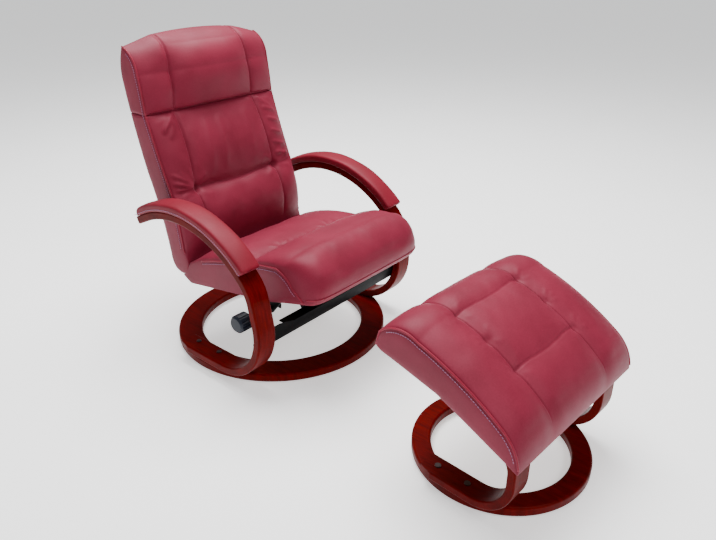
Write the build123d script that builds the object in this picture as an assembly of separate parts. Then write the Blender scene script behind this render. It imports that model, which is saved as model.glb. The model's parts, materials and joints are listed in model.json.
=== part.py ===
from build123d import *
import math
import os

os.makedirs("parts", exist_ok=True)

# Reclining armchair on a bentwood ring with a matching footstool. Millimetres.
# The chair faces -Y, its sitter's left is +X, and both rings stand on Z = 0.

# Clearances
seat_gap = 0.2
running_gap = 0.3
cut_overrun = 5

# Widths of the seat and the footstool, which frames, arms and rings follow
seat_half_width = 255
back_side_extra = 4
arm_seat_gap = 39
arm_width = 66
arm_ring_margin = 4
stool_half_width = 268
leg_cushion_inset = 27
leg_ring_margin = 7
back_half_width = seat_half_width + back_side_extra
arm_inner_x = seat_half_width + arm_seat_gap
arm_outer_x = arm_inner_x + arm_width
leg_outer_x = stool_half_width - leg_cushion_inset

# Floor rings and their glides
ring_thickness = 30
ring_edge_radius = 7
glide_height = 4
glide_radius = 14
glide_stem_radius = 4
glide_stem_length = 12
chair_ring_width = 80
chair_glide_count = 6
chair_glide_angle = 34
stool_ring_width = 52
stool_glide_count = 4
stool_glide_angle = 45
ring_top = glide_height + ring_thickness
chair_ring_outer = arm_outer_x - arm_ring_margin
chair_ring_inner = chair_ring_outer - chair_ring_width
stool_ring_outer = leg_outer_x - leg_ring_margin
stool_ring_inner = stool_ring_outer - stool_ring_width

# Bentwood arms, drawn along their outer, convex line
arm_thickness = 25
arm_edge_radius = 5
arm_foot_rear = 105
arm_toe_y = -321
arm_shoulder_y = -260
arm_shoulder_z = 361
arm_crest_y = -29
arm_crest_z = 583
arm_tip_y = 245
arm_tip_z = 457
arm_foot_overhang = 10
arm_bend_shares = [0.6623, 0.1492, 0.8475]

# Upholstered arm pads on the arms' convex line
pad_height = 27
pad_overhang = 2
pad_tip_extra = 16
pad_front_y = -232
pad_front_z = 399
pad_front_lean_angle = 40
pad_screw_radius = 3
pad_screw_bite = 10
pad_screw_head_radius = 6
pad_screw_head_height = 2.5
pad_screw_angles = [112, 78]
pad_height_shares = [(0, 1), (0.45, 0.98), (0.75, 0.92), (0.93, 0.8), (1, 0.66)]

# Bolts that hold each foot to its ring
foot_bolt_radius = 4
foot_bolt_head_radius = 8
foot_bolt_head_height = 3
foot_bolt_bite = 20
arm_foot_bolt_places = [60, -40]

# Pressed steel crossbar behind the posts
crossbar_thickness = 4
crossbar_bottom = 156
crossbar_height = 45
crossbar_flare_inset = 44
crossbar_flare_run = 55
crossbar_flare_rise = 13
crossbar_lap_margin = 8
crossbar_lip_depth = 20
crossbar_lip_inset = 10
crossbar_bolt_radius = 4
crossbar_bolt_head_radius = 8
crossbar_bolt_head_height = 4
crossbar_bolt_bite = 14
crossbar_bolt_inset = 18
crossbar_bolt_height = 184

# Recline hinge, the axis that the seat and the back are drawn from
hinge_y = 192
hinge_z = 285
hinge_pin_radius = 7
hinge_pin_reach = 26
barrel_radius = 44
barrel_gap = 1.5
recline_angle = 30

# Seat frame and board, in the seat's own tilted frame
seat_slope_angle = 9.8
seat_plate_inset = 23
seat_plate_thickness = 5
seat_plate_front = -480
seat_plate_bottom = -66
seat_plate_height = 24
seat_rail_inner_x = 95
seat_rail_front = -474
seat_rail_rear = -193
clamp_lug_margin = 12
clamp_lug_front = -262
clamp_lug_rear = -150
clamp_lug_top = 292
seat_ear_radius = 20
seat_ear_root = -75
seat_ear_heel = -25
seat_ear_foot = 39
seat_ear_neck = 14
seat_ear_throat = -17
seat_ear_crown = 10.5
seat_ear_front = -36
seat_ear_shelf = -30
seat_tube_radius = 11
seat_tube_wall = 2
seat_tube_places = [-462, -205]
seat_board_thickness = 12
seat_board_side_gap = 7
seat_board_front = -505
seat_board_rear = -66
seat_board_hole_radius = 28
seat_board_hole_spacing = 110
seat_board_hole_rows = [-395, -285, -140]
seat_board_screw_radius = 2.5
seat_board_screw_head_radius = 5
seat_board_screw_head_height = 2
seat_board_screw_x = 130
seat_board_screw_bite = 8
seat_board_lift = 2
seat_plate_top = seat_plate_bottom + seat_plate_height
seat_plate_inner_x = seat_half_width - seat_plate_inset
seat_plate_outer_x = seat_plate_inner_x + seat_plate_thickness
seat_rail_outer_x = seat_rail_inner_x + seat_plate_thickness
seat_board_half_width = seat_plate_inner_x - seat_board_side_gap
crossbar_flare_end = arm_inner_x - crossbar_flare_inset
crossbar_flare_start = crossbar_flare_end - crossbar_flare_run
crossbar_lip_half_width = seat_plate_inner_x - crossbar_lip_inset
seat_board_bottom = seat_plate_top + seat_board_lift
seat_tube_centre = seat_board_bottom - seat_tube_radius
seat_board_top = seat_board_bottom + seat_board_thickness

# Seat cushion outline: shares of its depth and height, then shares of its crown
seat_depth = 550
seat_height = 110
seat_crown = 30
seat_nose_crown = 90
seat_recess_margin = 15
seat_lip_y = 5
seat_lip_z = -52
seat_keel_y = -25
seat_keel_z = -76
seat_belly_y = -400
seat_belly_z = -80
seat_nape_angle = 182
seat_tail_angle = 275.5
seat_tuft_x = 108
seat_tuft_depth = 9
seat_tuft_radius = 26
seat_top_shares = {
    "rear_mid": (-0.34, 0.185, 0, 0.72),
    "seam": (-0.62, 0.265, 0, 0.35),
    "nose_rise": (-0.76, 0.305, -0.05, 0.95),
    "nose_top": (-0.84, 0.29, -0.55, 0.9),
    "nose_turn": (-0.895, 0.11, -0.88, 1.15),
    "nose_front": (-0.935, -0.18, -0.95, 0.45),
    "nose_under": (-0.975, -0.43, -0.65, 0),
    "nose_bottom": (-1.0, -0.54, -0.34, -0.5),
}
seat_width_shares = [(0, 1), (0.4, 1), (0.7, 0.98), (0.88, 0.88), (0.97, 0.5), (1, 0)]

# Steel plates that carry the seat from the crossbar, under its middle
mount_plate_thickness = 5
mount_plate_front = -265
mount_plate_foot_rear = -200
mount_plate_waist_y = -160
mount_plate_waist_z = 221
mount_plate_lap_front = -432
mount_plate_lap_rear = -335
mount_bolt_radius = 4
mount_bolt_head_radius = 7
mount_bolt_head_height = 4
mount_bolt_places = [-415, -352]

# Back frame, board and cushion, in the back's frame at the hinge
back_lean_share = 0.9208
back_tube_radius = 11
back_tube_wall = 2
back_tube_inset = 44
back_tube_rise = 575
back_tube_bend = 70
barrel_tube_radius = 12.5
barrel_tube_wall = 2.5
barrel_end_gap = 1
bush_flange = 2
ear_slot_gap = 1.7
ear_hub_gap = 7.5
ear_slot_start_angle = 186
ear_slot_end_angle = 305
back_board_thickness = 9
back_board_side_gap = 22
back_board_bottom = 70
back_board_top = 588
back_board_screw_radius = 2.5
back_board_screw_head_radius = 5
back_board_screw_head_height = 2
back_board_screw_bite = 6
back_board_screw_places = [150, 330, 500]
back_reach = 180
back_rise = 655
back_crown = 36
back_top_crown = 34
back_skirt = 23
back_pocket_top = 600
back_pocket_bottom = 58
back_tuft_x = 170
back_tuft_depth = 9
back_tuft_radius = 24
pillow_seam_rise = 459
back_root_angle = 155
back_heel_angle = 4
back_sole_angle = -100
back_lean_angle = math.degrees(math.atan2(back_lean_share * back_reach, back_rise))
barrel_tube_half_length = seat_plate_inner_x - bush_flange - barrel_end_gap
back_tube_x = barrel_tube_half_length - back_tube_inset
back_board_half_width = back_half_width - back_skirt - back_board_side_gap
back_outline_shares = {
    "lumbar_low": (-0.16, 0.07, 0.5, 0),
    "lumbar": (-0.108, 0.2, 1.0, 0),
    "tuft_seam": (0.005, 0.3466, 0.22, 0),
    "middle": (0.225, 0.51, 0.75, 0),
    "pillow_seam": (0.452, 0.7008, 0.2, 0),
    "pillow_low": (0.475, 0.77, 0.5, 0),
    "pillow": (0.53, 0.88, 0.6, 0.1),
    "pillow_top": (0.68, 0.97, 0.5, 0.8),
    "top": (0.87, 1.0, 0.0, 1.0),
    "rear_top": (0.945, 0.965, -0.1, 0.75),
    "rear_head": (0.995, 0.83, 0, 0),
    "rear_neck": (0.906, 0.7008, 0, 0),
    "rear_middle": (0.64, 0.42, 0, 0),
    "rear_waist": (0.345, 0.16, 0, 0),
}
back_width_shares = [(0, 1), (0.4, 0.98), (0.62, 0.86), (0.8, 0.55), (0.93, 0.22), (1, 0)]

# Recline stay: a slotted bar from the back's lever to the clamp
lever_length = 45
lever_thickness = 5
lever_tube_offset = 13
lever_half_width = 9
stay_thickness = 5
stay_half_height = 9
stay_end_margin = 16
stay_pin_radius = 4
stay_slot_gap = 1.6
stay_gap = 0.5
stay_groove_radius = 32
stay_groove_depth = 10
stay_pin_head_radius = 7
stay_pin_head_height = 2
lever_x = -back_tube_x - lever_tube_offset

# Clamp bolt, sleeve, spacer and knob
clamp_y = -200
clamp_radius = 4
clamp_head_radius = 11
clamp_head_thickness = 6
clamp_spacer_radius = 10
clamp_sleeve_radius = 9
knob_arm_inset = 14
knob_length = 46
knob_radius = 27
knob_end_chamfer = 6
knob_neck_radius = 12
knob_neck_length = 20
knob_flute_count = 12
knob_flute_radius = 4
knob_flute_lift = 2
knob_bore_depth = 30
knob_centre_x = knob_arm_inset - arm_outer_x

# Footstool place, legs and rails, in the stool's own frame
stool_x = -97
stool_y = -914
stool_turn_angle = -4
leg_width = 64
leg_thickness = 22
leg_edge_radius = 4
leg_foot_rear_share = 0.42
leg_toe_margin = 22
leg_knee_drop = 209
leg_rail_share = 0.115
leg_rail_drop = 121
leg_tip_margin = 10
leg_tip_drop = 80
leg_foot_overhang = 12
leg_bend_shares = [0.5979, 0.2528, 0.3007]
leg_foot_bolt_places = [48, -40]
stool_board_thickness = 9
stool_board_inset = 22
stool_board_front_margin = 60
stool_board_rear_margin = 16
stool_rail_depth = 40
stool_rail_thickness = 18
dowel_radius = 4
dowel_reach = 15
stool_rail_shares = [-0.48, 0.66]
stool_screw_radius = 2.5
stool_screw_head_radius = 5
stool_screw_head_height = 2
stool_screw_bite = 7
stool_screw_shares = [(2, 0.45), (3, 0.7)]
stool_board_half_width = stool_half_width - stool_board_inset
leg_inner_x = leg_outer_x - leg_width
leg_bolt_x = (stool_ring_outer + stool_ring_inner) / 2

# Footstool cushion outline, in shares of its half depth and its height
stool_reach = 200
stool_rise = 437
stool_crown = 20
leg_foot_rear = leg_foot_rear_share * stool_reach
leg_toe_y = leg_toe_margin - stool_reach
leg_knee_z = stool_rise - leg_knee_drop
leg_rail_y = leg_rail_share * stool_reach
leg_rail_z = stool_rise - leg_rail_drop
leg_tip_y = stool_reach - leg_tip_margin
leg_tip_z = stool_rise - leg_tip_drop
stool_board_front = stool_board_front_margin - stool_reach
stool_board_rear = stool_reach - stool_board_rear_margin
stool_rail_places = [share * stool_reach for share in stool_rail_shares]
stool_seam_x = 129
stool_tuft_radius = 22
stool_tuft_shares = [(0.38, 0.945), (-0.045, 0.875), (-0.46, 0.79)]
stool_top_shares = {
    "front_foot": (-0.985, 0.508, 0, 0),
    "front": (-0.955, 0.585, -0.4, 0.1),
    "front_rise": (-0.74, 0.72, -0.35, 0.7),
    "middle": (-0.2, 0.868, 0, 1.0),
    "rear_rise": (0.4, 0.975, 0, 1.0),
    "rear_top": (0.76, 0.993, 0.1, 0.9),
    "rear_edge": (0.97, 0.935, 0.4, 0.3),
    "rear_foot": (1.02, 0.846, 0, 0),
}
stool_width_shares = [
    (0, 1), (0.25, 1), (0.4, 0.85), (0.481, 0.1), (0.56, 0.85),
    (0.75, 0.86), (0.9, 0.58), (0.97, 0.25), (1, 0),
]


# Helpers
def save(name, *shapes):
    """Keep a node as the list of its separate solids."""
    nodes[name] = [solid for shape in shapes for solid in shape.solids()]


def offset_points(points, distance):
    """Corner points of the path that runs parallel to points on its left."""
    starts = []
    heads = []
    for (ay, az), (by, bz) in zip(points[:-1], points[1:]):
        run = math.hypot(by - ay, bz - az)
        head = ((by - ay) / run, (bz - az) / run)
        starts.append((ay - head[1] * distance, az + head[0] * distance))
        heads.append(head)
    moved = [starts[0]]
    for i in range(len(heads) - 1):
        (py, pz), (ty, tz) = starts[i], heads[i]
        (qy, qz), (sy, sz) = starts[i + 1], heads[i + 1]
        along = ((qy - py) * sz - (qz - pz) * sy) / (ty * sz - tz * sy)
        moved.append((py + ty * along, pz + tz * along))
    end_y, end_z = points[-1]
    moved.append((end_y - heads[-1][1] * distance, end_z + heads[-1][0] * distance))
    return moved


def strip_face(points, radii, low, high):
    """Face between two depths, counted inwards from a convex path of lines and arcs."""
    edges = []
    ends = []
    for depth in (low, high):
        corners = offset_points(points, -depth)
        line = FilletPolyline(*corners, radius=[radius - depth for radius in radii])
        edges += line.edges()
        ends.append((corners[0], corners[-1]))
    edges += Line(ends[0][0], ends[1][0]).edges()
    edges += Line(ends[0][1], ends[1][1]).edges()
    return make_face(edges)


def arc_centre(points, radii, corner):
    """Centre of the arc that rounds one inner corner of a path."""
    (ay, az), (by, bz), (cy, cz) = points[corner - 1:corner + 2]
    back = math.hypot(ay - by, az - bz)
    ahead = math.hypot(cy - by, cz - bz)
    inwards = ((ay - by) / back + (cy - by) / ahead, (az - bz) / back + (cz - bz) / ahead)
    spread = math.hypot(*inwards)
    distance = radii[corner - 1] / math.sqrt(1 - (spread / 2) ** 2)
    return (by + inwards[0] / spread * distance, bz + inwards[1] / spread * distance)


def bend_radii(points, shares):
    """Radii whose arcs take a share of the shorter run beside each inner corner."""
    radii = []
    for (ay, az), (by, bz), (cy, cz), share in zip(points, points[1:], points[2:], shares):
        back = math.hypot(by - ay, bz - az)
        ahead = math.hypot(cy - by, cz - bz)
        turn = math.acos(((by - ay) * (cy - by) + (bz - az) * (cz - bz)) / (back * ahead))
        radii.append(share * min(back, ahead) / math.tan(turn / 2))
    return radii


def prism(face, start_x, end_x):
    """A face drawn in Y and Z, given its thickness along X."""
    return Pos(start_x, 0, 0) * extrude(Plane.YZ * face, amount=end_x - start_x)


def polygon(points):
    """A face in Y and Z with straight sides."""
    return make_face(Polyline(*points, close=True).edges())


def rod(radius, start_x, end_x, y=0, z=0):
    """A round bar along X."""
    middle = Location(((start_x + end_x) / 2, y, z), (0, 90, 0))
    return middle * Cylinder(radius, abs(end_x - start_x))


def tube(radius, bore, start_x, end_x, y=0, z=0):
    """A round tube along X."""
    return rod(radius, start_x, end_x, y, z) - rod(bore, start_x - cut_overrun, end_x + cut_overrun, y, z)


def post(radius, height, x=0, y=0, z=0):
    """A round bar along Z that stands on z."""
    return Pos(x, y, z + height / 2) * Cylinder(radius, height)


def block(start, end):
    """A box between two corners."""
    size = [abs(b - a) for a, b in zip(start, end)]
    middle = [(a + b) / 2 for a, b in zip(start, end)]
    return Pos(*middle) * Box(*size)


def mirrored(shape):
    return mirror(shape, about=Plane.YZ)


def radial_screw(x, centre, angle, start, shank, head=None):
    """A screw that points away from centre, its head's seat at the radius start."""
    turn = math.radians(angle)
    place = Location(
        (x, centre[0] + start * math.cos(turn), centre[1] + start * math.sin(turn)),
        (angle - 90, 0, 0),
    )
    screw = post(shank[0], shank[1])
    if head:
        screw += post(head[0], head[1], z=-head[1])
    return place * screw


def cushion(width_shares, half_width, section):
    """Loft across the width, crowned in the middle and flat at its sides."""
    places = [(-share, crown) for share, crown in reversed(width_shares) if share]
    places += list(width_shares)
    faces = []
    for share, crown in places:
        plane = Plane(origin=(share * half_width, 0, 0), x_dir=(0, 1, 0), z_dir=(1, 0, 0))
        faces.append(plane * section(crown))
    return loft(faces)


def barrel_point(angle, radius):
    """A point round the hinge, from its own axis."""
    return (radius * math.cos(math.radians(angle)), radius * math.sin(math.radians(angle)))


nodes = {}
hinge = Pos(0, hinge_y, hinge_z)
seat_place = hinge * Rot(-seat_slope_angle, 0, 0)
back_place = hinge * Rot(-back_lean_angle, 0, 0)


def seat_point(y, z):
    """Where a point of the seat's tilted frame lies in the chair's Y and Z."""
    slope = math.radians(seat_slope_angle)
    out_y = hinge_y + y * math.cos(slope) + z * math.sin(slope)
    out_z = hinge_z - y * math.sin(slope) + z * math.cos(slope)
    return (out_y, out_z)


# Rings on the floor, their glides and the bolts of the feet
def floor_ring(outer, inner):
    hole = post(inner, ring_thickness + 2 * cut_overrun, z=glide_height - cut_overrun)
    ring = post(outer, ring_thickness, z=glide_height) - hole
    return fillet(ring.edges().filter_by(GeomType.CIRCLE), ring_edge_radius)


def glide_points(outer, inner, count, first_angle):
    middle = (outer + inner) / 2
    angles = [math.radians(first_angle + 360 / count * i) for i in range(count)]
    return [(middle * math.cos(angle), middle * math.sin(angle)) for angle in angles]


def glide(x, y):
    foot = post(glide_radius, glide_height, x, y)
    return foot + post(glide_stem_radius, glide_stem_length, x, y, glide_height)


def glide_hole(x, y):
    depth = glide_stem_length + seat_gap + cut_overrun
    return post(glide_stem_radius + seat_gap, depth, x, y, glide_height - cut_overrun)


def foot_bolt(x, y, thickness):
    """A bolt whose low head stands on the foot and whose shank reaches into the ring."""
    length = thickness + foot_bolt_bite
    head = post(foot_bolt_head_radius, foot_bolt_head_height, x, y, ring_top + thickness)
    return head + post(foot_bolt_radius, length, x, y, ring_top - foot_bolt_bite)


def foot_bolt_hole(x, y, thickness):
    length = thickness + foot_bolt_bite + seat_gap + cut_overrun
    return post(foot_bolt_radius + seat_gap, length, x, y, ring_top - foot_bolt_bite - seat_gap)


def foot_trim(reach, thickness):
    """What is cut off a foot behind its bend, so that it follows the ring."""
    top = ring_top + thickness + cut_overrun
    outside = block((-2 * reach, 0, ring_top - cut_overrun), (2 * reach, 2 * reach, top))
    return outside - post(reach, top + cut_overrun)


def long_edges(solid, shortest):
    """Edges of a strip that run along its two side faces."""
    flat = [edge for edge in solid.edges() if edge.bounding_box().size.X < seat_gap]
    return [edge for edge in flat if edge.length > shortest + cut_overrun]


chair_glides = glide_points(chair_ring_outer, chair_ring_inner, chair_glide_count, chair_glide_angle)
arm_bolt_x = (chair_ring_outer + chair_ring_inner) / 2
arm_bolts = [(side * arm_bolt_x, y) for side in (-1, 1) for y in arm_foot_bolt_places]
base_ring = floor_ring(chair_ring_outer, chair_ring_inner)
for x, y in chair_glides:
    base_ring -= glide_hole(x, y)
for x, y in arm_bolts:
    base_ring -= foot_bolt_hole(x, y, arm_thickness)
save("base_ring", base_ring)
save("base_glides", *[glide(x, y) for x, y in chair_glides])
save("arm_foot_bolts", *[foot_bolt(x, y, arm_thickness) for x, y in arm_bolts])

# Arms: one bentwood strip from the foot on the ring to the tip behind the elbow
arm_points = [
    (arm_foot_rear, ring_top),
    (arm_toe_y, ring_top),
    (arm_shoulder_y, arm_shoulder_z),
    (arm_crest_y, arm_crest_z),
    (arm_tip_y, arm_tip_z),
]
arm_radii = bend_radii(arm_points, arm_bend_shares)
arm_toe_radius = arm_radii[0]
arm_crest_radius = arm_radii[-1]
arm_middle_x = arm_outer_x - arm_width / 2
toe_centre = arc_centre(arm_points, arm_radii, 1)
crest_centre = arc_centre(arm_points, arm_radii, 3)
pad_screw = dict(
    start=arm_crest_radius - arm_thickness - seat_gap,
    shank=(pad_screw_radius, arm_thickness + seat_gap + pad_screw_bite),
    head=(pad_screw_head_radius, pad_screw_head_height),
)
pad_screw_hole = dict(
    start=arm_crest_radius - arm_thickness - seat_gap,
    shank=(pad_screw_radius + seat_gap, arm_thickness + pad_screw_bite + 2 * seat_gap),
)
crossbar_start = arm_toe_radius - arm_thickness - seat_gap - crossbar_thickness
crossbar_head_drop = seat_gap + crossbar_bolt_head_radius ** 2 / (2 * crossbar_start)
crossbar_bolt = dict(
    start=crossbar_start - crossbar_head_drop,
    shank=(crossbar_bolt_radius, crossbar_head_drop + crossbar_thickness + crossbar_bolt_bite),
    head=(crossbar_bolt_head_radius, crossbar_bolt_head_height),
)
crossbar_bolt_hole = dict(
    start=crossbar_start - seat_gap,
    shank=(crossbar_bolt_radius + seat_gap, crossbar_thickness + crossbar_bolt_bite + 3 * seat_gap),
)
crossbar_bolt_rise = crossbar_bolt_height - toe_centre[1]
crossbar_bolt_angle = 180 - math.degrees(math.asin(crossbar_bolt_rise / crossbar_start))
crossbar_bolt_xs = [arm_inner_x + crossbar_bolt_inset, arm_outer_x - crossbar_bolt_inset]


def arm_strip(low, high):
    return strip_face(arm_points, arm_radii, low, high)


arm = prism(arm_strip(0, arm_thickness), arm_inner_x, arm_outer_x)
arm = fillet(long_edges(arm, arm_thickness), arm_edge_radius)
arm -= foot_trim(chair_ring_outer + arm_foot_overhang, arm_thickness)
for y in arm_foot_bolt_places:
    arm -= foot_bolt_hole(arm_bolt_x, y, arm_thickness)
for angle in pad_screw_angles:
    arm -= radial_screw(arm_middle_x, crest_centre, angle, **pad_screw_hole)
for x in crossbar_bolt_xs:
    arm -= radial_screw(x, toe_centre, crossbar_bolt_angle, **crossbar_bolt_hole)
save("arm_left", arm)
save("arm_right", mirrored(arm))

# Arm pads: crowned lofts along the arm's convex line, square in front, round behind
pad_half_width = arm_width / 2 + pad_overhang
tip_run = math.hypot(arm_tip_y - arm_crest_y, arm_tip_z - arm_crest_z)
tip_share = 1 + pad_tip_extra / tip_run
pad_points = arm_points[:-1] + [
    (
        arm_crest_y + (arm_tip_y - arm_crest_y) * tip_share,
        arm_crest_z + (arm_tip_z - arm_crest_z) * tip_share,
    )
]
pad_front = Location((0, pad_front_y, pad_front_z), (-pad_front_lean_angle, 0, 0))
pad_cut = 2 * arm_outer_x


def pad_section(height_share):
    return strip_face(pad_points, arm_radii, -pad_height * height_share, 0)


pad = Pos(arm_middle_x, 0, 0) * cushion(pad_height_shares, pad_half_width, pad_section)
pad -= pad_front * block((-pad_cut, -pad_cut, -pad_cut), (pad_cut, pad_cut, 0))
for angle in pad_screw_angles:
    pad -= radial_screw(arm_middle_x, crest_centre, angle, **pad_screw_hole)
pad_screws = [radial_screw(arm_middle_x, crest_centre, angle, **pad_screw) for angle in pad_screw_angles]
save("arm_pad_left", pad)
save("arm_pad_right", mirrored(pad))
save("arm_pad_screws", *pad_screws, *[mirrored(screw) for screw in pad_screws])

# Pressed crossbar, lapped behind both posts and bolted to them
crossbar_top = crossbar_bottom + crossbar_height
crossbar_half_width = arm_outer_x - crossbar_lap_margin
crossbar_front_depth = arm_thickness + seat_gap
crossbar_rear_depth = crossbar_front_depth + crossbar_thickness
crossbar_outline = [
    (0, crossbar_bottom),
    (crossbar_half_width, crossbar_bottom),
    (crossbar_half_width, crossbar_top + crossbar_flare_rise),
    (crossbar_flare_end, crossbar_top + crossbar_flare_rise),
    (crossbar_flare_start, crossbar_top),
    (0, crossbar_top),
]


def crossbar_lip(bottom):
    """A flange that turns back from the crossbar's web."""
    rear = arc_y(toe_centre, crossbar_start, crossbar_bottom) + crossbar_lip_depth
    lip = block(
        (0, rear - 2 * crossbar_lip_depth, bottom),
        (crossbar_lip_half_width, rear, bottom + crossbar_thickness),
    )
    return lip - prism(arm_strip(-crossbar_lip_depth, crossbar_front_depth), -cut_overrun, arm_outer_x)


def arc_y(centre, radius, height):
    """Front Y of an arc at a height."""
    return centre[0] - math.sqrt(radius ** 2 - (height - centre[1]) ** 2)


half_web = prism(arm_strip(crossbar_front_depth, crossbar_rear_depth), 0, crossbar_half_width)
window = Plane.XZ * make_face(Polyline(*crossbar_outline, close=True).edges())
half_web &= extrude(window, amount=2 * arm_outer_x, both=True)
half_web = half_web.solids().sort_by(Axis.Y)[0]
half_bar = half_web + crossbar_lip(crossbar_bottom) + crossbar_lip(crossbar_top - crossbar_thickness)
crossbar = half_bar + mirrored(half_bar)
crossbar_bolts = []
for x in crossbar_bolt_xs:
    hole = radial_screw(x, toe_centre, crossbar_bolt_angle, **crossbar_bolt_hole)
    bolt = radial_screw(x, toe_centre, crossbar_bolt_angle, **crossbar_bolt)
    crossbar -= hole
    crossbar -= mirrored(hole)
    crossbar_bolts += [bolt, mirrored(bolt)]
save("front_crossbar", crossbar)
save("crossbar_bolts", *crossbar_bolts)

# Seat frame: side plates with hinge ears, joined by two tubes
seat_plate_points = [
    (seat_plate_front, seat_plate_bottom),
    (seat_ear_heel, seat_plate_bottom),
    (seat_ear_heel + seat_ear_foot, -seat_ear_neck),
    (seat_ear_throat, seat_ear_crown),
    (seat_ear_front, seat_ear_shelf),
    (seat_ear_root, seat_plate_top),
    (seat_plate_front, seat_plate_top),
]
mount_outer_x = seat_rail_inner_x - seat_gap
mount_inner_x = mount_outer_x - mount_plate_thickness
lap_middle = (seat_plate_bottom + seat_plate_top) / 2
pin_start = seat_plate_inner_x - hinge_pin_reach
ear_hole = rod(hinge_pin_radius + seat_gap, pin_start, seat_plate_outer_x + cut_overrun)
side_plate = prism(polygon(seat_plate_points), seat_plate_inner_x, seat_plate_outer_x)
side_plate += rod(seat_ear_radius, seat_plate_inner_x, seat_plate_outer_x)
side_plate -= ear_hole
mount_bolt_start = mount_inner_x - mount_bolt_head_height
mount_bolts = []
rail = block(
    (seat_rail_inner_x, seat_rail_front, seat_plate_bottom), (seat_rail_outer_x, seat_rail_rear, seat_plate_top)
)
for y in mount_bolt_places:
    hole_end = seat_rail_outer_x + cut_overrun
    rail -= rod(mount_bolt_radius + seat_gap, mount_inner_x, hole_end, y, lap_middle)
    bolt = rod(mount_bolt_radius, mount_bolt_start, seat_rail_outer_x, y, lap_middle)
    bolt += rod(mount_bolt_head_radius, mount_bolt_start, mount_inner_x, y, lap_middle)
    mount_bolts += [bolt, mirrored(bolt)]
seat_frame = side_plate + mirrored(side_plate)
board_screws = []
board_screw_holes = []
screw_start = seat_tube_centre - seat_tube_radius
screw_length = seat_board_bottom - screw_start + seat_board_screw_bite
for y in seat_tube_places:
    seat_frame += rod(seat_tube_radius, -seat_plate_inner_x, seat_plate_inner_x, y, seat_tube_centre)
seat_frame += rail + mirrored(rail)
for y in seat_tube_places:
    bore = seat_tube_radius - seat_tube_wall
    seat_frame -= rod(bore, -seat_plate_inner_x, seat_plate_inner_x, y, seat_tube_centre)
    for x in (-seat_board_screw_x, seat_board_screw_x):
        hole_length = screw_length + 2 * seat_gap
        hole = post(seat_board_screw_radius + seat_gap, hole_length, x, y, screw_start - seat_gap)
        screw = post(seat_board_screw_radius, screw_length, x, y, screw_start)
        head_start = screw_start - seat_board_screw_head_height
        screw += post(seat_board_screw_head_radius, seat_board_screw_head_height, x, y, head_start)
        seat_frame -= hole
        board_screws.append(screw)
        board_screw_holes.append(hole)
lever_turn = math.radians(recline_angle / 2)
stay_z = hinge_z - lever_length * math.cos(lever_turn)
clamp_z = stay_z - lever_length * (1 - math.cos(lever_turn)) / 2
lug_foot = clamp_z - clamp_lug_margin
lug_points = [
    (clamp_lug_front, clamp_lug_top),
    (clamp_y - clamp_lug_margin, lug_foot),
    (clamp_y + clamp_lug_margin, lug_foot),
    (clamp_lug_rear, clamp_lug_top),
]
clamp_lug = prism(polygon(lug_points), -seat_plate_outer_x, -seat_plate_inner_x)
clamp_lug -= rod(clamp_radius + seat_gap, -arm_outer_x, 0, clamp_y, clamp_z)
seat_frame = seat_place * seat_frame + clamp_lug
save("seat_frame", seat_frame)
save("seat_mount_bolts", *[seat_place * bolt for bolt in mount_bolts])
save("seat_board_screws", *[seat_place * screw for screw in board_screws])
pins = [rod(hinge_pin_radius, side * pin_start, side * seat_plate_outer_x) for side in (-1, 1)]
save("hinge_pins", *[seat_place * pin for pin in pins])

# Seat board with rows of round holes
seat_board = block(
    (-seat_board_half_width, seat_board_front, seat_board_bottom + seat_gap),
    (seat_board_half_width, seat_board_rear, seat_board_top),
)
for y in seat_board_hole_rows:
    for x in (-seat_board_hole_spacing, 0, seat_board_hole_spacing):
        hole_start = seat_board_bottom - cut_overrun
        seat_board -= post(seat_board_hole_radius, 2 * seat_board_thickness, x, y, hole_start)
for hole in board_screw_holes:
    seat_board -= hole
save("seat_board", seat_place * seat_board)

# Plates from the crossbar up to the seat frame's rails
mount_plate_foot = crossbar_bottom + crossbar_thickness + seat_gap
mount_points = [
    (mount_plate_front, mount_plate_foot),
    (mount_plate_foot_rear, mount_plate_foot),
    (mount_plate_waist_y, mount_plate_waist_z),
    seat_point(mount_plate_lap_rear, seat_plate_bottom),
    seat_point(mount_plate_lap_rear, seat_plate_top),
    seat_point(mount_plate_lap_front, seat_plate_top),
    (mount_plate_front, crossbar_top),
]
mount_plate = prism(polygon(mount_points), mount_inner_x, mount_outer_x)
mount_plate -= prism(
    arm_strip(-crossbar_lip_depth, crossbar_rear_depth + seat_gap), mount_inner_x - cut_overrun, arm_outer_x
)
top_lip_bottom = crossbar_top - crossbar_thickness
top_lip_rear = arc_y(toe_centre, crossbar_start, crossbar_bottom) + crossbar_lip_depth
mount_plate -= block(
    (0, mount_plate_front - crossbar_lip_depth, top_lip_bottom - seat_gap),
    (arm_outer_x, top_lip_rear + seat_gap, crossbar_top + seat_gap),
)
for y in mount_bolt_places:
    hole_y, hole_z = seat_point(y, lap_middle)
    mount_plate -= rod(mount_bolt_radius + seat_gap, mount_inner_x - cut_overrun, arm_outer_x, hole_y, hole_z)
save("mount_plate_left", mount_plate)
save("mount_plate_right", mirrored(mount_plate))

# Seat cushion with a bulbous front and a sewn seam across it
seat_recess_half_width = seat_plate_outer_x + running_gap
seat_arc_radius = barrel_radius + barrel_gap


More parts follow.
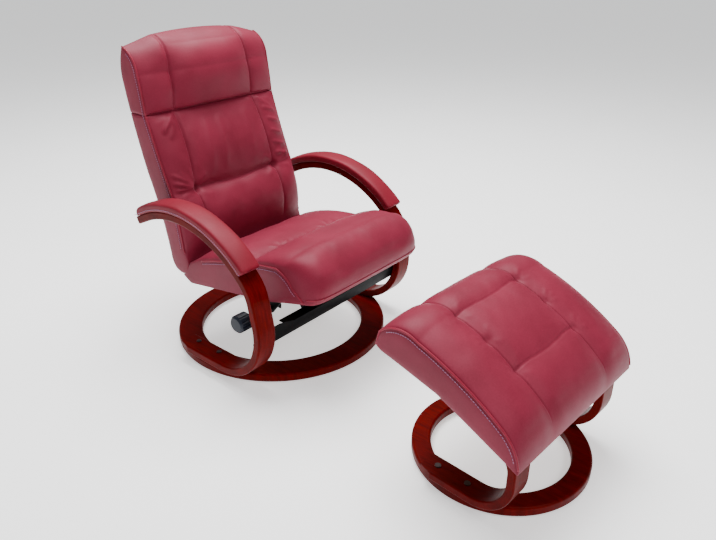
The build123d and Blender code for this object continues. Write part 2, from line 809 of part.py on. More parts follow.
def seat_section(crown):
    """Outline across the seat, from the hinge's hollow over the top to the underside."""
    def top(name):
        share_y, share_z, crown_y, crown_z = seat_top_shares[name]
        y = share_y * seat_depth + crown * crown_y * seat_nose_crown
        return (y, share_z * seat_height + crown * crown_z * seat_crown)

    nape = barrel_point(seat_nape_angle, seat_arc_radius)
    tail = barrel_point(seat_tail_angle, seat_arc_radius)
    middle = barrel_point((seat_nape_angle + seat_tail_angle) / 2, seat_arc_radius)
    edges = [
        ThreePointArc(nape, top("rear_mid"), top("seam")),
        ThreePointArc(top("seam"), top("nose_rise"), top("nose_top")),
        ThreePointArc(top("nose_top"), top("nose_turn"), top("nose_front")),
        ThreePointArc(top("nose_front"), top("nose_under"), top("nose_bottom")),
        Line(top("nose_bottom"), (seat_belly_y, seat_belly_z)),
        Line((seat_belly_y, seat_belly_z), (seat_keel_y, seat_keel_z)),
        Line((seat_keel_y, seat_keel_z), (seat_lip_y, seat_lip_z)),
        Line((seat_lip_y, seat_lip_z), tail),
        ThreePointArc(tail, middle, nape),
    ]
    return make_face([edge for part in edges for edge in part.edges()])


seat_cushion = cushion(seat_width_shares, seat_half_width, seat_section)
seat_cushion -= block(
    (-seat_recess_half_width, seat_board_front - seat_recess_margin, -seat_height),
    (seat_recess_half_width, seat_height, seat_board_top + seat_gap),
)
seam_share_y, seam_share_z, seam_crown_y, seam_crown_z = seat_top_shares["seam"]
seat_tuft_height = seam_share_z * seat_height + seam_crown_z * seat_crown
for x in (-seat_tuft_x, seat_tuft_x):
    dimple_z = seat_tuft_height - seat_tuft_depth + seat_tuft_radius
    seat_cushion -= Pos(x, seam_share_y * seat_depth, dimple_z) * Sphere(seat_tuft_radius)
save("seat_cushion", seat_place * seat_cushion)

# Back frame: bent tube on a cross tube, with the lever of the recline stay
lever_outer_x = lever_x - lever_thickness
lever_pin = (lever_length * math.sin(lever_turn), -lever_length * math.cos(lever_turn))
tube_corners = [
    (-back_tube_x, 0),
    (-back_tube_x, back_tube_rise),
    (back_tube_x, back_tube_rise),
    (back_tube_x, 0),
]


def bent_tube(radius, start):
    """A round bar along the back's bent tube, from start up and over to the other side."""
    corners = [(x, max(z, start)) for x, z in tube_corners]
    path = Plane.XZ * FilletPolyline(*corners, radius=back_tube_bend)
    profile = Plane(origin=(-back_tube_x, 0, start), z_dir=(0, 0, 1)) * Circle(radius)
    return sweep(profile, path=path)


def lever_shape(half_width, start_x, end_x):
    """The flat lever from the hinge down to the stay's pin."""
    side_y = half_width * math.cos(lever_turn)
    side_z = half_width * math.sin(lever_turn)
    corners = [
        (-side_y, -side_z),
        (side_y, side_z),
        (lever_pin[0] + side_y, lever_pin[1] + side_z),
        (lever_pin[0] - side_y, lever_pin[1] - side_z),
    ]
    bar = prism(polygon(corners), start_x, end_x)
    return bar + rod(half_width, start_x, end_x, *lever_pin)


barrel_bore = barrel_tube_radius - barrel_tube_wall
cross_tube = rod(barrel_tube_radius, -barrel_tube_half_length, barrel_tube_half_length)
back_frame = bent_tube(back_tube_radius, 0) + cross_tube
back_frame -= bent_tube(back_tube_radius - back_tube_wall, barrel_tube_radius)
back_frame = back_place * back_frame + hinge * lever_shape(lever_half_width, lever_outer_x, lever_x)
back_frame -= hinge * rod(barrel_bore, -seat_half_width, seat_half_width)
lever_hole = rod(stay_pin_radius + seat_gap, lever_outer_x - cut_overrun, lever_x + cut_overrun, *lever_pin)
back_frame -= hinge * lever_hole

# Back board in front of the tube, screwed to it with sunk screws
board_rear_y = -back_tube_radius - seat_gap
board_front_y = board_rear_y - back_board_thickness
back_board = block(
    (-back_board_half_width, board_front_y, back_board_bottom),
    (back_board_half_width, board_rear_y, back_board_top),
)
back_screws = []
for x in (-back_tube_x, back_tube_x):
    for z in back_board_screw_places:
        place = Location((x, board_front_y, z), (-90, 0, 0))
        sink = back_board_screw_head_height + seat_gap
        length = back_board_thickness + seat_gap + back_board_screw_bite
        hole = post(back_board_screw_radius + seat_gap, length + 2 * seat_gap)
        hole += post(back_board_screw_head_radius + seat_gap, sink + seat_gap, z=-seat_gap)
        screw = post(back_board_screw_radius, length - seat_gap, z=seat_gap)
        screw += post(back_board_screw_head_radius, back_board_screw_head_height, z=seat_gap)
        back_board -= place * hole
        back_frame -= back_place * place * hole
        back_screws.append(back_place * place * screw)
save("back_frame", back_frame)
save("back_board", back_place * back_board)
save("back_board_screws", *back_screws)

# Bushes pressed into the cross tube
bush_end = barrel_tube_half_length + bush_flange
bush = rod(barrel_bore - seat_gap, pin_start, bush_end)
bush += rod(barrel_tube_radius, barrel_tube_half_length + seat_gap, bush_end)
bush -= rod(hinge_pin_radius + running_gap, pin_start - cut_overrun, bush_end + cut_overrun)
save("hinge_bushes", hinge * bush, mirrored(hinge * bush))

# Back cushion, headrest pillow and rear cover, cut from one crowned loft
pillow_seam_z = hinge_z + pillow_seam_rise
back_recess_half_width = back_half_width - back_skirt
cover_front_y = back_tube_radius + seat_gap


def back_section(crown):
    """Outline across the back, from the barrel at the hinge up the front and down the rear."""
    def outline(name):
        share_y, share_z, crown_y, crown_z = back_outline_shares[name]
        y = share_y * back_reach - crown * crown_y * back_crown
        return (y, share_z * back_rise + crown * crown_z * back_top_crown)

    root = barrel_point(back_root_angle, barrel_radius)
    heel = barrel_point(back_heel_angle, barrel_radius)
    stops = [back_heel_angle, back_sole_angle, back_root_angle - 360]
    edges = [
        Line(root, outline("lumbar_low")),
        ThreePointArc(outline("lumbar_low"), outline("lumbar"), outline("tuft_seam")),
        ThreePointArc(outline("tuft_seam"), outline("middle"), outline("pillow_seam")),
        ThreePointArc(outline("pillow_seam"), outline("pillow_low"), outline("pillow")),
        ThreePointArc(outline("pillow"), outline("pillow_top"), outline("top")),
        ThreePointArc(outline("top"), outline("rear_top"), outline("rear_head")),
        ThreePointArc(outline("rear_head"), outline("rear_neck"), outline("rear_middle")),
        ThreePointArc(outline("rear_middle"), outline("rear_waist"), heel),
    ]
    for start, end in zip(stops[:-1], stops[1:]):
        arc = [barrel_point(angle, barrel_radius) for angle in (start, (start + end) / 2, end)]
        edges.append(ThreePointArc(*arc))
    return make_face([edge for part in edges for edge in part.edges()])


back_soft = hinge * cushion(back_width_shares, back_half_width, back_section)
pocket = back_place * block(
    (-back_recess_half_width, board_front_y - seat_gap, back_pocket_bottom),
    (back_recess_half_width, 2 * back_reach, back_pocket_top),
)
cover_space = back_place * block(
    (-back_recess_half_width + seat_gap, cover_front_y, back_pocket_bottom + seat_gap),
    (back_recess_half_width - seat_gap, 2 * back_reach, back_pocket_top - seat_gap),
)
save("back_rear_cover", back_soft & cover_space)
slot_start = seat_plate_inner_x - ear_slot_gap
slot_end = seat_plate_outer_x + ear_slot_gap
slot_radius = barrel_radius + running_gap + barrel_gap
groove_outer_x = lever_outer_x - stay_groove_depth
groove_inner_x = lever_x + barrel_gap
groove = tube(slot_radius, stay_groove_radius, groove_outer_x, groove_inner_x)
groove &= block((-back_half_width, -slot_radius, -slot_radius), (0, slot_radius, 0))
back_soft -= pocket
back_soft -= hinge * rod(barrel_tube_radius + seat_gap, -slot_start, slot_start)
slot_turns = [ear_slot_start_angle, (ear_slot_start_angle + ear_slot_end_angle) / 2, ear_slot_end_angle]
slot_sector = polygon([(0, 0)] + [barrel_point(angle, 2 * slot_radius) for angle in slot_turns])
ear_slot = rod(slot_radius, slot_start, slot_end) & prism(slot_sector, slot_start, slot_end)
ear_slot += rod(seat_ear_radius + ear_hub_gap, slot_start, slot_end)
back_soft -= hinge * ear_slot
back_soft -= hinge * mirrored(ear_slot)
back_soft -= hinge * groove
back_soft -= hinge * lever_shape(lever_half_width + seat_gap, lever_outer_x - seat_gap, lever_x + seat_gap)
for x in (-back_tube_x, back_tube_x):
    back_soft -= back_place * post(back_tube_radius + seat_gap, back_pocket_bottom + cut_overrun, x)
seam_share_y, seam_share_z, seam_crown_y, seam_crown_z = back_outline_shares["tuft_seam"]
back_tuft_y = seam_share_y * back_reach - seam_crown_y * back_crown
for x in (-back_tuft_x, back_tuft_x):
    dimple_y = back_tuft_y + back_tuft_depth - back_tuft_radius
    back_soft -= hinge * Pos(x, dimple_y, seam_share_z * back_rise) * Sphere(back_tuft_radius)
reach = 2 * back_rise
below = block((-back_rise, -reach, -reach), (back_rise, reach, pillow_seam_z - seat_gap / 2))
above = block((-back_rise, -reach, pillow_seam_z + seat_gap / 2), (back_rise, reach, reach))
save("back_cushion", back_soft & below)
save("headrest_pillow", back_soft & above)

# Recline stay from the lever to the clamp, and its pin
stay_inner_x = lever_outer_x - stay_gap
stay_outer_x = stay_inner_x - stay_thickness
stay_travel = 2 * lever_pin[0]
stay_rear_y = hinge_y + lever_pin[0]
slot_half_height = clamp_radius + stay_slot_gap
stay = block(
    (stay_outer_x, clamp_y - stay_end_margin, stay_z - stay_half_height),
    (stay_inner_x, stay_rear_y, stay_z + stay_half_height),
)
stay += rod(stay_half_height, stay_outer_x, stay_inner_x, stay_rear_y, stay_z)
stay -= block(
    (stay_outer_x - cut_overrun, clamp_y, stay_z - slot_half_height),
    (stay_inner_x + cut_overrun, clamp_y + stay_travel, stay_z + slot_half_height),
)
for y in (clamp_y, clamp_y + stay_travel):
    stay -= rod(slot_half_height, stay_outer_x - cut_overrun, stay_inner_x + cut_overrun, y, stay_z)
stay_hole_radius = stay_pin_radius + running_gap
stay -= rod(stay_hole_radius, stay_outer_x - cut_overrun, stay_inner_x + cut_overrun, stay_rear_y, stay_z)
save("recline_stay", stay)
pin_head_x = stay_outer_x - running_gap
stay_pin = rod(stay_pin_radius, pin_head_x, lever_x)
stay_pin += rod(stay_pin_head_radius, pin_head_x - stay_pin_head_height, pin_head_x)
save("stay_pin", Pos(0, stay_rear_y, stay_z) * stay_pin)

# Clamp bolt, spacer, sleeve and knob
clamp_place = Pos(0, clamp_y, clamp_z)
clamp_head_x = stay_inner_x + running_gap
sleeve_end_x = knob_centre_x + knob_length / 2 + knob_neck_length
knob_start_x = sleeve_end_x - running_gap
bolt_end_x = knob_start_x - knob_bore_depth + cut_overrun
clamp_bolt = rod(clamp_radius, bolt_end_x, clamp_head_x)
clamp_bolt += rod(clamp_head_radius, clamp_head_x, clamp_head_x + clamp_head_thickness)
clamp_bore = clamp_radius + seat_gap
clamp_spacer = tube(clamp_spacer_radius, clamp_bore, -seat_plate_inner_x + seat_gap, stay_outer_x - running_gap)
clamp_sleeve = tube(clamp_sleeve_radius, clamp_bore, sleeve_end_x, -seat_plate_outer_x - seat_gap)
save("clamp_bolt", clamp_place * clamp_bolt)
save("clamp_spacer", clamp_place * clamp_spacer)
save("clamp_sleeve", clamp_place * clamp_sleeve)
barrel_start_x = knob_centre_x - knob_length / 2
barrel_end_x = knob_centre_x + knob_length / 2
knob = rod(knob_radius, barrel_start_x, barrel_end_x)
knob = chamfer(knob.edges().filter_by(GeomType.CIRCLE), knob_end_chamfer)
for i in range(knob_flute_count):
    angle = 360 / knob_flute_count * i
    flute = barrel_point(angle, knob_radius + knob_flute_lift)
    knob -= rod(knob_flute_radius, barrel_start_x - cut_overrun, barrel_end_x + cut_overrun, *flute)
knob += rod(knob_neck_radius, barrel_end_x, knob_start_x)
knob -= rod(clamp_radius + running_gap, knob_start_x - knob_bore_depth, knob_start_x + cut_overrun)
save("clamp_knob", clamp_place * knob)

# Footstool ring, legs and rails
stool_place = Location((stool_x, stool_y, 0), (0, 0, stool_turn_angle))
stool_glides = glide_points(stool_ring_outer, stool_ring_inner, stool_glide_count, stool_glide_angle)
leg_middle_x = leg_outer_x - leg_width / 2
leg_points = [
    (leg_foot_rear, ring_top),
    (leg_toe_y, ring_top),
    (leg_toe_y, leg_knee_z),
    (leg_rail_y, leg_rail_z),
    (leg_tip_y, leg_tip_z),
]
leg_radii = bend_radii(leg_points, leg_bend_shares)
leg_bolts = [(side * leg_bolt_x, y) for side in (-1, 1) for y in leg_foot_bolt_places]
stool_ring = floor_ring(stool_ring_outer, stool_ring_inner)
for x, y in stool_glides:
    stool_ring -= glide_hole(x, y)
for x, y in leg_bolts:
    stool_ring -= foot_bolt_hole(x, y, leg_thickness)


def leg_strip(low, high):
    return strip_face(leg_points, leg_radii, low, high)


def leg_screw(x, segment, share, shank, head=None):
    """A screw from under a leg's straight run, square to it."""
    (ay, az), (by, bz) = leg_points[segment:segment + 2]
    point = (ay + (by - ay) * share, az + (bz - az) * share)
    angle = math.degrees(math.atan2(bz - az, by - ay)) + 90
    return radial_screw(x, point, angle, -leg_thickness, shank, head)


leg = prism(leg_strip(0, leg_thickness), leg_inner_x, leg_outer_x)
leg = fillet(long_edges(leg, leg_thickness), leg_edge_radius)
leg -= foot_trim(stool_ring_outer + leg_foot_overhang, leg_thickness)
for y in leg_foot_bolt_places:
    leg -= foot_bolt_hole(leg_bolt_x, y, leg_thickness)
board_line = leg_strip(-seat_gap - stool_board_thickness, -seat_gap)
stool_board = prism(board_line, -stool_board_half_width, stool_board_half_width)
stool_board &= block(
    (-stool_reach * 2, stool_board_front, leg_knee_z / 2),
    (stool_reach * 2, stool_board_rear, stool_rise),
)
screw_hole = (stool_screw_radius + seat_gap, leg_thickness + stool_screw_bite + 2 * seat_gap)
screw_shank = (stool_screw_radius, leg_thickness + stool_screw_bite)
screw_head = (stool_screw_head_radius, stool_screw_head_height)
stool_screws = []
for segment, share in stool_screw_shares:
    hole = leg_screw(leg_middle_x, segment, share, screw_hole)
    screw = leg_screw(leg_middle_x, segment, share, screw_shank, screw_head)
    leg -= hole
    stool_board -= hole
    stool_board -= mirrored(hole)
    stool_screws += [screw, mirrored(screw)]
rail_half_length = leg_inner_x - seat_gap
dowels = []
rails = []
for y in stool_rail_places:
    rail = prism(leg_strip(0, stool_rail_depth), -rail_half_length, rail_half_length)
    rail &= block(
        (-stool_reach, y - stool_rail_thickness / 2, leg_knee_z / 2),
        (stool_reach, y + stool_rail_thickness / 2, stool_rise),
    )
    centre = rail.center()
    dowel = rod(dowel_radius, leg_inner_x - dowel_reach, leg_inner_x + dowel_reach, centre.Y, centre.Z)
    hole_reach = dowel_reach + seat_gap
    hole = rod(dowel_radius + seat_gap, leg_inner_x - hole_reach, leg_inner_x + hole_reach, centre.Y, centre.Z)
    leg -= hole
    rails.append(rail - hole - mirrored(hole))
    dowels += [dowel, mirrored(dowel)]
save("stool_ring", stool_place * stool_ring)
save("stool_glides", *[stool_place * glide(x, y) for x, y in stool_glides])
save("stool_foot_bolts", *[stool_place * foot_bolt(x, y, leg_thickness) for x, y in leg_bolts])
save("stool_leg_left", stool_place * leg)
save("stool_leg_right", stool_place * mirrored(leg))
save("stool_front_rail", stool_place * rails[0])
save("stool_rear_rail", stool_place * rails[1])
save("stool_rail_dowels", *[stool_place * dowel for dowel in dowels])
save("stool_board", stool_place * stool_board)
save("stool_board_screws", *[stool_place * screw for screw in stool_screws])


# Footstool cushion: three channels with tufts on the two seams between them
def stool_section(crown):
    """Outline across the footstool's cushion, its underside on the legs' line."""
    def top(name):
        share_y, share_z, crown_y, crown_z = stool_top_shares[name]
        y = share_y * stool_reach + crown * crown_y * stool_crown
        return (y, share_z * stool_rise + crown * crown_z * stool_crown)

    knee, rail, tip = offset_points(leg_points, seat_gap)[2:]
    edges = [
        ThreePointArc(top("front_foot"), top("front"), top("front_rise")),
        ThreePointArc(top("front_rise"), top("middle"), top("rear_rise")),
        ThreePointArc(top("rear_rise"), top("rear_top"), top("rear_edge")),
        Line(top("rear_edge"), top("rear_foot")),
        Line(top("rear_foot"), tip),
        Line(tip, rail),
        Line(rail, knee),
        Line(knee, top("front_foot")),
    ]
    return make_face([edge for part in edges for edge in part.edges()])


stool_cushion = cushion(stool_width_shares, stool_half_width, stool_section)
board_pocket = prism(
    leg_strip(-2 * seat_gap - stool_board_thickness, stool_board_thickness),
    -stool_board_half_width - seat_gap,
    stool_board_half_width + seat_gap,
)
board_pocket &= block(
    (-stool_reach * 2, stool_board_front - seat_gap, leg_knee_z / 2),
    (stool_reach * 2, stool_board_rear + seat_gap, stool_rise),
)
stool_cushion -= board_pocket
for x in (-stool_seam_x, stool_seam_x):
    for share_y, share_z in stool_tuft_shares:
        dimple_z = share_z * stool_rise + stool_tuft_radius
        stool_cushion -= Pos(x, share_y * stool_reach, dimple_z) * Sphere(stool_tuft_radius)
save("stool_cushion", stool_place * stool_cushion)

# Move the whole set so that its box stands centred on the origin, then export
boxes = [solid.bounding_box() for solids in nodes.values() for solid in solids]
centre_x = (min(box.min.X for box in boxes) + max(box.max.X for box in boxes)) / 2
centre_y = (min(box.min.Y for box in boxes) + max(box.max.Y for box in boxes)) / 2
floor_z = min(box.min.Z for box in boxes)
move = Pos(-centre_x, -centre_y, -floor_z)
print("shift", -centre_x, -centre_y, -floor_z)
for name, solids in nodes.items():
    moved = [move * solid for solid in solids]
    export_step(Compound(moved) if len(moved) > 1 else moved[0], f"parts/{name}.step")
    print(name, len(moved), "solids", round(sum(solid.volume for solid in moved)), "mm3")
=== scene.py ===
import json
import math

import bmesh
import bpy
import numpy as np
from mathutils import Euler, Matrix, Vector


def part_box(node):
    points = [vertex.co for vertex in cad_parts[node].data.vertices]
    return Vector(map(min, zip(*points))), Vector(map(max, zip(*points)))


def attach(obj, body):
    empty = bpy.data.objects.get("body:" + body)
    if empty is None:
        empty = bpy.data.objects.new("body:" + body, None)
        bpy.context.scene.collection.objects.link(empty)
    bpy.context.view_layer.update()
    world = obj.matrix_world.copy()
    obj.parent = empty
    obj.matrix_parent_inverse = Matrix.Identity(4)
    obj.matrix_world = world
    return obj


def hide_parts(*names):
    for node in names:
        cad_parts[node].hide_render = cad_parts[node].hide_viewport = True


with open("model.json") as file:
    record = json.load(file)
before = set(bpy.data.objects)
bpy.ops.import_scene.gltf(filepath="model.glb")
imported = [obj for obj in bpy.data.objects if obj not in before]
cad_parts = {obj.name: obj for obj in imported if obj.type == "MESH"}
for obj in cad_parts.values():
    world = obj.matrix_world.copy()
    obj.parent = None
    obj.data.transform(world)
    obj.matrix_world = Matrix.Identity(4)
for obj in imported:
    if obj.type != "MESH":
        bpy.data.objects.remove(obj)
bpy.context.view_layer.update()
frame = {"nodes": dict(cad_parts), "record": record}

scene = bpy.context.scene
nodes = frame["nodes"]
MM = 0.001

# Places of the chair and the footstool, read from the frame
ring_low, ring_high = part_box("base_ring")
CHAIR = np.array([(ring_low.x + ring_high.x) / 2, (ring_low.y + ring_high.y) / 2, 0.0])
stool_low, stool_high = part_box("stool_ring")
STOOL = np.array([(stool_low.x + stool_high.x) / 2, (stool_low.y + stool_high.y) / 2, 0.0])

# The hinge over the chair's middle, the seat's slope and the footstool's turn
HINGE_Y, HINGE_Z = 192.0, 285.0
SEAT_SLOPE = math.radians(9.8)
STOOL_TURN = math.radians(-4)

# Half widths of the cushions, then radii and angles of the round ends of seat and back at the hinge
SEAT_HALF, BACK_HALF, STOOL_HALF = 255.0, 259.0, 268.0
SEAT_BARREL, BACK_BARREL = 45.5, 44.0
SEAT_ANGLES, BACK_ANGLES = (182, 228.7, 275.5), (155, 207.5, 260, 312, 364)

# Seams: across the seat, across the back, under the headrest, along and across the footstool,
# and how far out the tufts of seat and back are
SEAT_SEAM = -343.0
TUFT_SEAM = 227.0
PILLOW_SEAM = 459.0
STOOL_SEAM = 129.0
STOOL_ROWS = (76.0, -9.0, -92.0)
SEAT_TUFTS, BACK_TUFTS = 108.0, 171.0

# Rows of points down a side panel, its ends not counted
PANEL_ROWS = 9

# Cloth
PRESSURE = 4.0
LAST_FRAME = 20
KEPT_SHARE = 0.4

WELT_RADIUS, STOOL_WELT_RADIUS = 0.0024, 0.0026
STITCH_PITCH, STITCH_RADIUS = 0.007, 0.0009
STITCH_LENGTH = 0.66 * STITCH_PITCH


# Outlines
def arc(p, q, r, count):
    """Points of the arc from p through q to r."""
    (ax, ay), (bx, by), (cx, cy) = p, q, r
    d = 2 * (ax * (by - cy) + bx * (cy - ay) + cx * (ay - by))
    ux = ((ax**2 + ay**2) * (by - cy) + (bx**2 + by**2) * (cy - ay) + (cx**2 + cy**2) * (ay - by)) / d
    uy = ((ax**2 + ay**2) * (cx - bx) + (bx**2 + by**2) * (ax - cx) + (cx**2 + cy**2) * (bx - ax)) / d
    radius = math.hypot(ax - ux, ay - uy)
    a0, a1, a2 = (math.atan2(y - uy, x - ux) for x, y in (p, q, r))
    turn = (a2 - a0) % (2 * math.pi)
    if (a1 - a0) % (2 * math.pi) > turn:
        turn -= 2 * math.pi
    angles = a0 + turn * np.linspace(0, 1, count)
    return np.stack([ux + radius * np.cos(angles), uy + radius * np.sin(angles)], 1)


def line(p, q, count):
    """Points evenly from p to q."""
    return np.array(p) + np.linspace(0, 1, count)[:, None] * (np.array(q) - np.array(p))


def chain(*runs):
    """Runs joined end to end, each shared point once."""
    return np.concatenate([runs[0]] + [run[1:] for run in runs[1:]])


def length_shares(points):
    """How far along its length each point of a polyline is, from 0 to 1."""
    steps = np.hypot(*np.diff(points, axis=0).T)
    along = np.concatenate([[0], np.cumsum(steps)])
    return along / along[-1]


def resample(points, shares):
    """Points of a polyline at shares of its length."""
    along = length_shares(points)
    return np.stack([np.interp(shares, along, points[:, k]) for k in range(points.shape[1])], 1)


def stations(total, pitch, seams, fine, reach):
    """Places from 0 to total, pitch apart and only fine apart near the seams."""
    core = 3
    places = [0.0]
    while places[-1] < total:
        here = places[-1]
        near = min(abs(here - seam) for seam in seams)
        share = min(1.0, max(0.0, (near - core) / reach))
        places.append(here + fine + (pitch - fine) * share)
    places = np.array(places)
    return places * total / places[-1]


# Meshes
def new_object(name, data):
    obj = bpy.data.objects.new(name, data)
    scene.collection.objects.link(obj)
    return obj


def mesh_object(name, points, faces, smooth=True):
    mesh = bpy.data.meshes.new(name)
    mesh.from_pydata([tuple(p) for p in points], [], [tuple(f) for f in faces])
    mesh.validate()
    if smooth:
        mesh.shade_smooth()
    return new_object(name, mesh)


def clean(mesh, merge=None):
    """Turns the faces outwards, after merging points that are closer than merge."""
    bm = bmesh.new()
    bm.from_mesh(mesh)
    if merge:
        bmesh.ops.remove_doubles(bm, verts=bm.verts, dist=merge)
        bmesh.ops.dissolve_degenerate(bm, dist=merge, edges=bm.edges)
    bmesh.ops.recalc_face_normals(bm, faces=bm.faces)
    bm.to_mesh(mesh)
    bm.free()


def grid_faces(rows, columns, first=0, closed=False):
    """Faces of a grid of points that starts at point first; closed joins its last column."""
    faces = []
    span = columns if closed else columns - 1
    for i in range(rows - 1):
        for j in range(span):
            k = (j + 1) % columns
            a, b = first + i * columns + j, first + i * columns + k
            faces.append((a, a + columns, b + columns, b))
    return faces


def bump(d, width):
    """1 at distance 0, fading to nothing about twice the width away."""
    return np.exp(-((d / width) ** 2))


def waves(x, y, seed, scale):
    """Smooth repeatable noise from a few sine waves, about -1 to 1."""
    rng = np.random.default_rng(seed)
    total = np.zeros_like(x)
    for _ in range(7):
        angle = rng.uniform(0, 2 * math.pi)
        wave = rng.uniform(0.7, 1.6) / scale
        phase = rng.uniform(0, 2 * math.pi)
        total += np.sin((x * math.cos(angle) + y * math.sin(angle)) * wave * 2 * math.pi + phase)
    return total / 3.2


def fold(x, y, start, end, height, width):
    """A soft ridge between two points that fades at both ends."""
    (ax, ay), (bx, by) = start, end
    run = math.hypot(bx - ax, by - ay)
    along = ((x - ax) * (bx - ax) + (y - ay) * (by - ay)) / run**2
    across = ((x - ax) * (by - ay) - (y - ay) * (bx - ax)) / run
    fade = np.clip(1 - (2 * along - 1) ** 4, 0, 1) * ((along > 0) & (along < 1))
    return height * fade * bump(across, width)


def folds(x, y, centre, rays, near, side=1):
    """Ridges out from a tuft; each ray is its end from the centre, a height and a width."""
    total = np.zeros_like(x)
    cx, cy = centre
    for dx, dy, height, width in rays:
        start = (cx + side * dx * near, cy + dy * near)
        total += fold(x, y, start, (cx + side * dx, cy + dy), height, width)
    return total


def read(mesh, name):
    values = np.zeros(len(mesh.vertices), np.float32)
    mesh.attributes[name].data.foreach_get("value", values)
    return values.astype(float)


def coordinates(mesh):
    co = np.zeros(len(mesh.vertices) * 3, np.float32)
    mesh.vertices.foreach_get("co", co)
    return co.reshape(-1, 3).astype(float)


def write(mesh, co):
    mesh.vertices.foreach_set("co", co.astype(np.float32).ravel())
    mesh.update()


def normals(mesh):
    values = np.zeros(len(mesh.vertices) * 3, np.float32)
    mesh.vertices.foreach_get("normal", values)
    return values.reshape(-1, 3).astype(float)


class Cushion:
    """A closed cushion: a grid of sections across X with a ruled panel at each side."""

    def __init__(self, name, xs, upper, lower, start=None, side_bulge=3):
        # upper(x) and lower(x) give outlines of equal count; start(x) joins them at their first end
        shares = np.linspace(0, 1, PANEL_ROWS + 2)
        sections = []
        for x in xs:
            up, low = upper(x), lower(x)
            begin = start(x) if start else line(up[0], low[0], PANEL_ROWS + 2)
            finish = line(up[-1], low[-1], PANEL_ROWS + 2)
            sections.append((up, low, begin, finish))
        count = len(sections[0][0])
        loops = [chain(up, finish, low[::-1], begin[::-1])[:-1] for up, low, begin, finish in sections]
        points, top = [], []
        for x, loop in zip(xs, loops):
            points += [(x, y, z) for y, z in loop]
            top += [1.0] * count + [0.0] * (len(loop) - count)
        faces = grid_faces(len(xs), len(loops[0]), closed=True)
        for side, (up, low, begin, finish) in ((xs[0], sections[0]), (xs[-1], sections[-1])):
            panel = grid_faces(count, PANEL_ROWS + 2, len(points))
            faces += [face[::-1] for face in panel] if side > 0 else panel
            for i in range(count):
                row = up[i] + shares[:, None] * (low[i] - up[i])
                swell = side_bulge * (1 - (2 * shares - 1) ** 4)
                if i in (0, count - 1):
                    row, swell = (finish if i else begin), 0 * swell
                points += [(side + math.copysign(out, side), y, z) for out, (y, z) in zip(swell, row)]
                top += [0.0] * len(row)
        self.obj = mesh_object(name, np.array(points), faces)
        mesh = self.obj.data
        mesh.attributes.new("top", "FLOAT", "POINT").data.foreach_set("value", np.array(top, np.float32))
        clean(mesh, merge=0.01)

    def puff(self, pinned, cap, smoothing=12):
        """Swells the form by up to cap with Cloth; pinned(x, y, z, top) says what the seams hold."""
        mesh = self.obj.data
        co = coordinates(mesh)
        hold = pinned(co[:, 0], co[:, 1], co[:, 2], read(mesh, "top"))
        mesh.transform(((MM, 0, 0, 0), (0, MM, 0, 0), (0, 0, MM, 0), (0, 0, 0, 1)))
        group = self.obj.vertex_groups.new(name="hold")
        for level in np.unique(np.round(hold, 1)):
            if level > 0:
                where = np.nonzero(np.round(hold, 1) == level)[0]
                group.add([int(i) for i in where], float(level), "REPLACE")
        cloth = self.obj.modifiers.new("Cloth", "CLOTH")
        settings = cloth.settings
        settings.quality = 4
        settings.mass = 0.4
        settings.tension_stiffness = 12
        settings.compression_stiffness = 12
        settings.shear_stiffness = 6
        settings.bending_stiffness = 0.6
        settings.use_pressure = True
        settings.uniform_pressure_force = PRESSURE
        settings.shrink_min = -0.02
        settings.vertex_group_mass = "hold"
        settings.pin_stiffness = 1
        settings.effector_weights.gravity = 0
        for step in range(1, LAST_FRAME + 1):
            scene.frame_set(step)
        result = self.obj.evaluated_get(bpy.context.evaluated_depsgraph_get())
        swollen = coordinates(result.data) / MM
        self.obj.modifiers.remove(cloth)
        self.obj.vertex_groups.clear()
        scene.frame_set(1)
        move = swollen - co
        size = np.linalg.norm(move, axis=1)
        move *= (np.minimum(size, cap) / np.maximum(size, 1e-9))[:, None]
        move *= (1 - hold)[:, None]
        # Averages each point's move with its neighbours', which takes out small creases
        ends = np.zeros(len(mesh.edges) * 2, np.int32)
        mesh.edges.foreach_get("vertices", ends)
        a, b = ends.reshape(-1, 2).T
        degree = np.bincount(ends, minlength=len(co))[:, None]
        for _ in range(smoothing):
            around = np.zeros_like(move)
            np.add.at(around, a, move[b])
            np.add.at(around, b, move[a])
            move = KEPT_SHARE * move + (1 - KEPT_SHARE) * around / degree
            move *= (1 - hold)[:, None]
        write(mesh, co + move)

    def sculpt(self, relief):
        """Subdivides once and moves the points along their normals by relief(x, y, z, top)."""
        modifier = self.obj.modifiers.new("Subdivision", "SUBSURF")
        modifier.levels = 1
        modifier.render_levels = 1
        bake(self.obj)
        mesh = self.obj.data
        co = coordinates(mesh)
        height = relief(co[:, 0], co[:, 1], co[:, 2], read(mesh, "top"))
        write(mesh, co + normals(mesh) * height[:, None])

    def place(self, to_world):
        """Takes the points from the cushion's millimetres to the scene."""
        mesh = self.obj.data
        write(mesh, to_world(coordinates(mesh)))
        return self.obj


def bake(obj):
    """Applies the modifiers of an object."""
    result = obj.evaluated_get(bpy.context.evaluated_depsgraph_get())
    mesh = bpy.data.meshes.new_from_object(result)
    obj.modifiers.clear()
    obj.data = mesh


def cut(obj, *cutters):
    """Takes the cutters away from a closed mesh."""
    for cutter in cutters:
        modifier = obj.modifiers.new("Cut", "BOOLEAN")
        modifier.operation = "DIFFERENCE"
        modifier.solver = "EXACT"
        modifier.object = cutter
    bake(obj)
    for cutter in cutters:
        bpy.data.objects.remove(cutter)
    obj.data.shade_smooth()


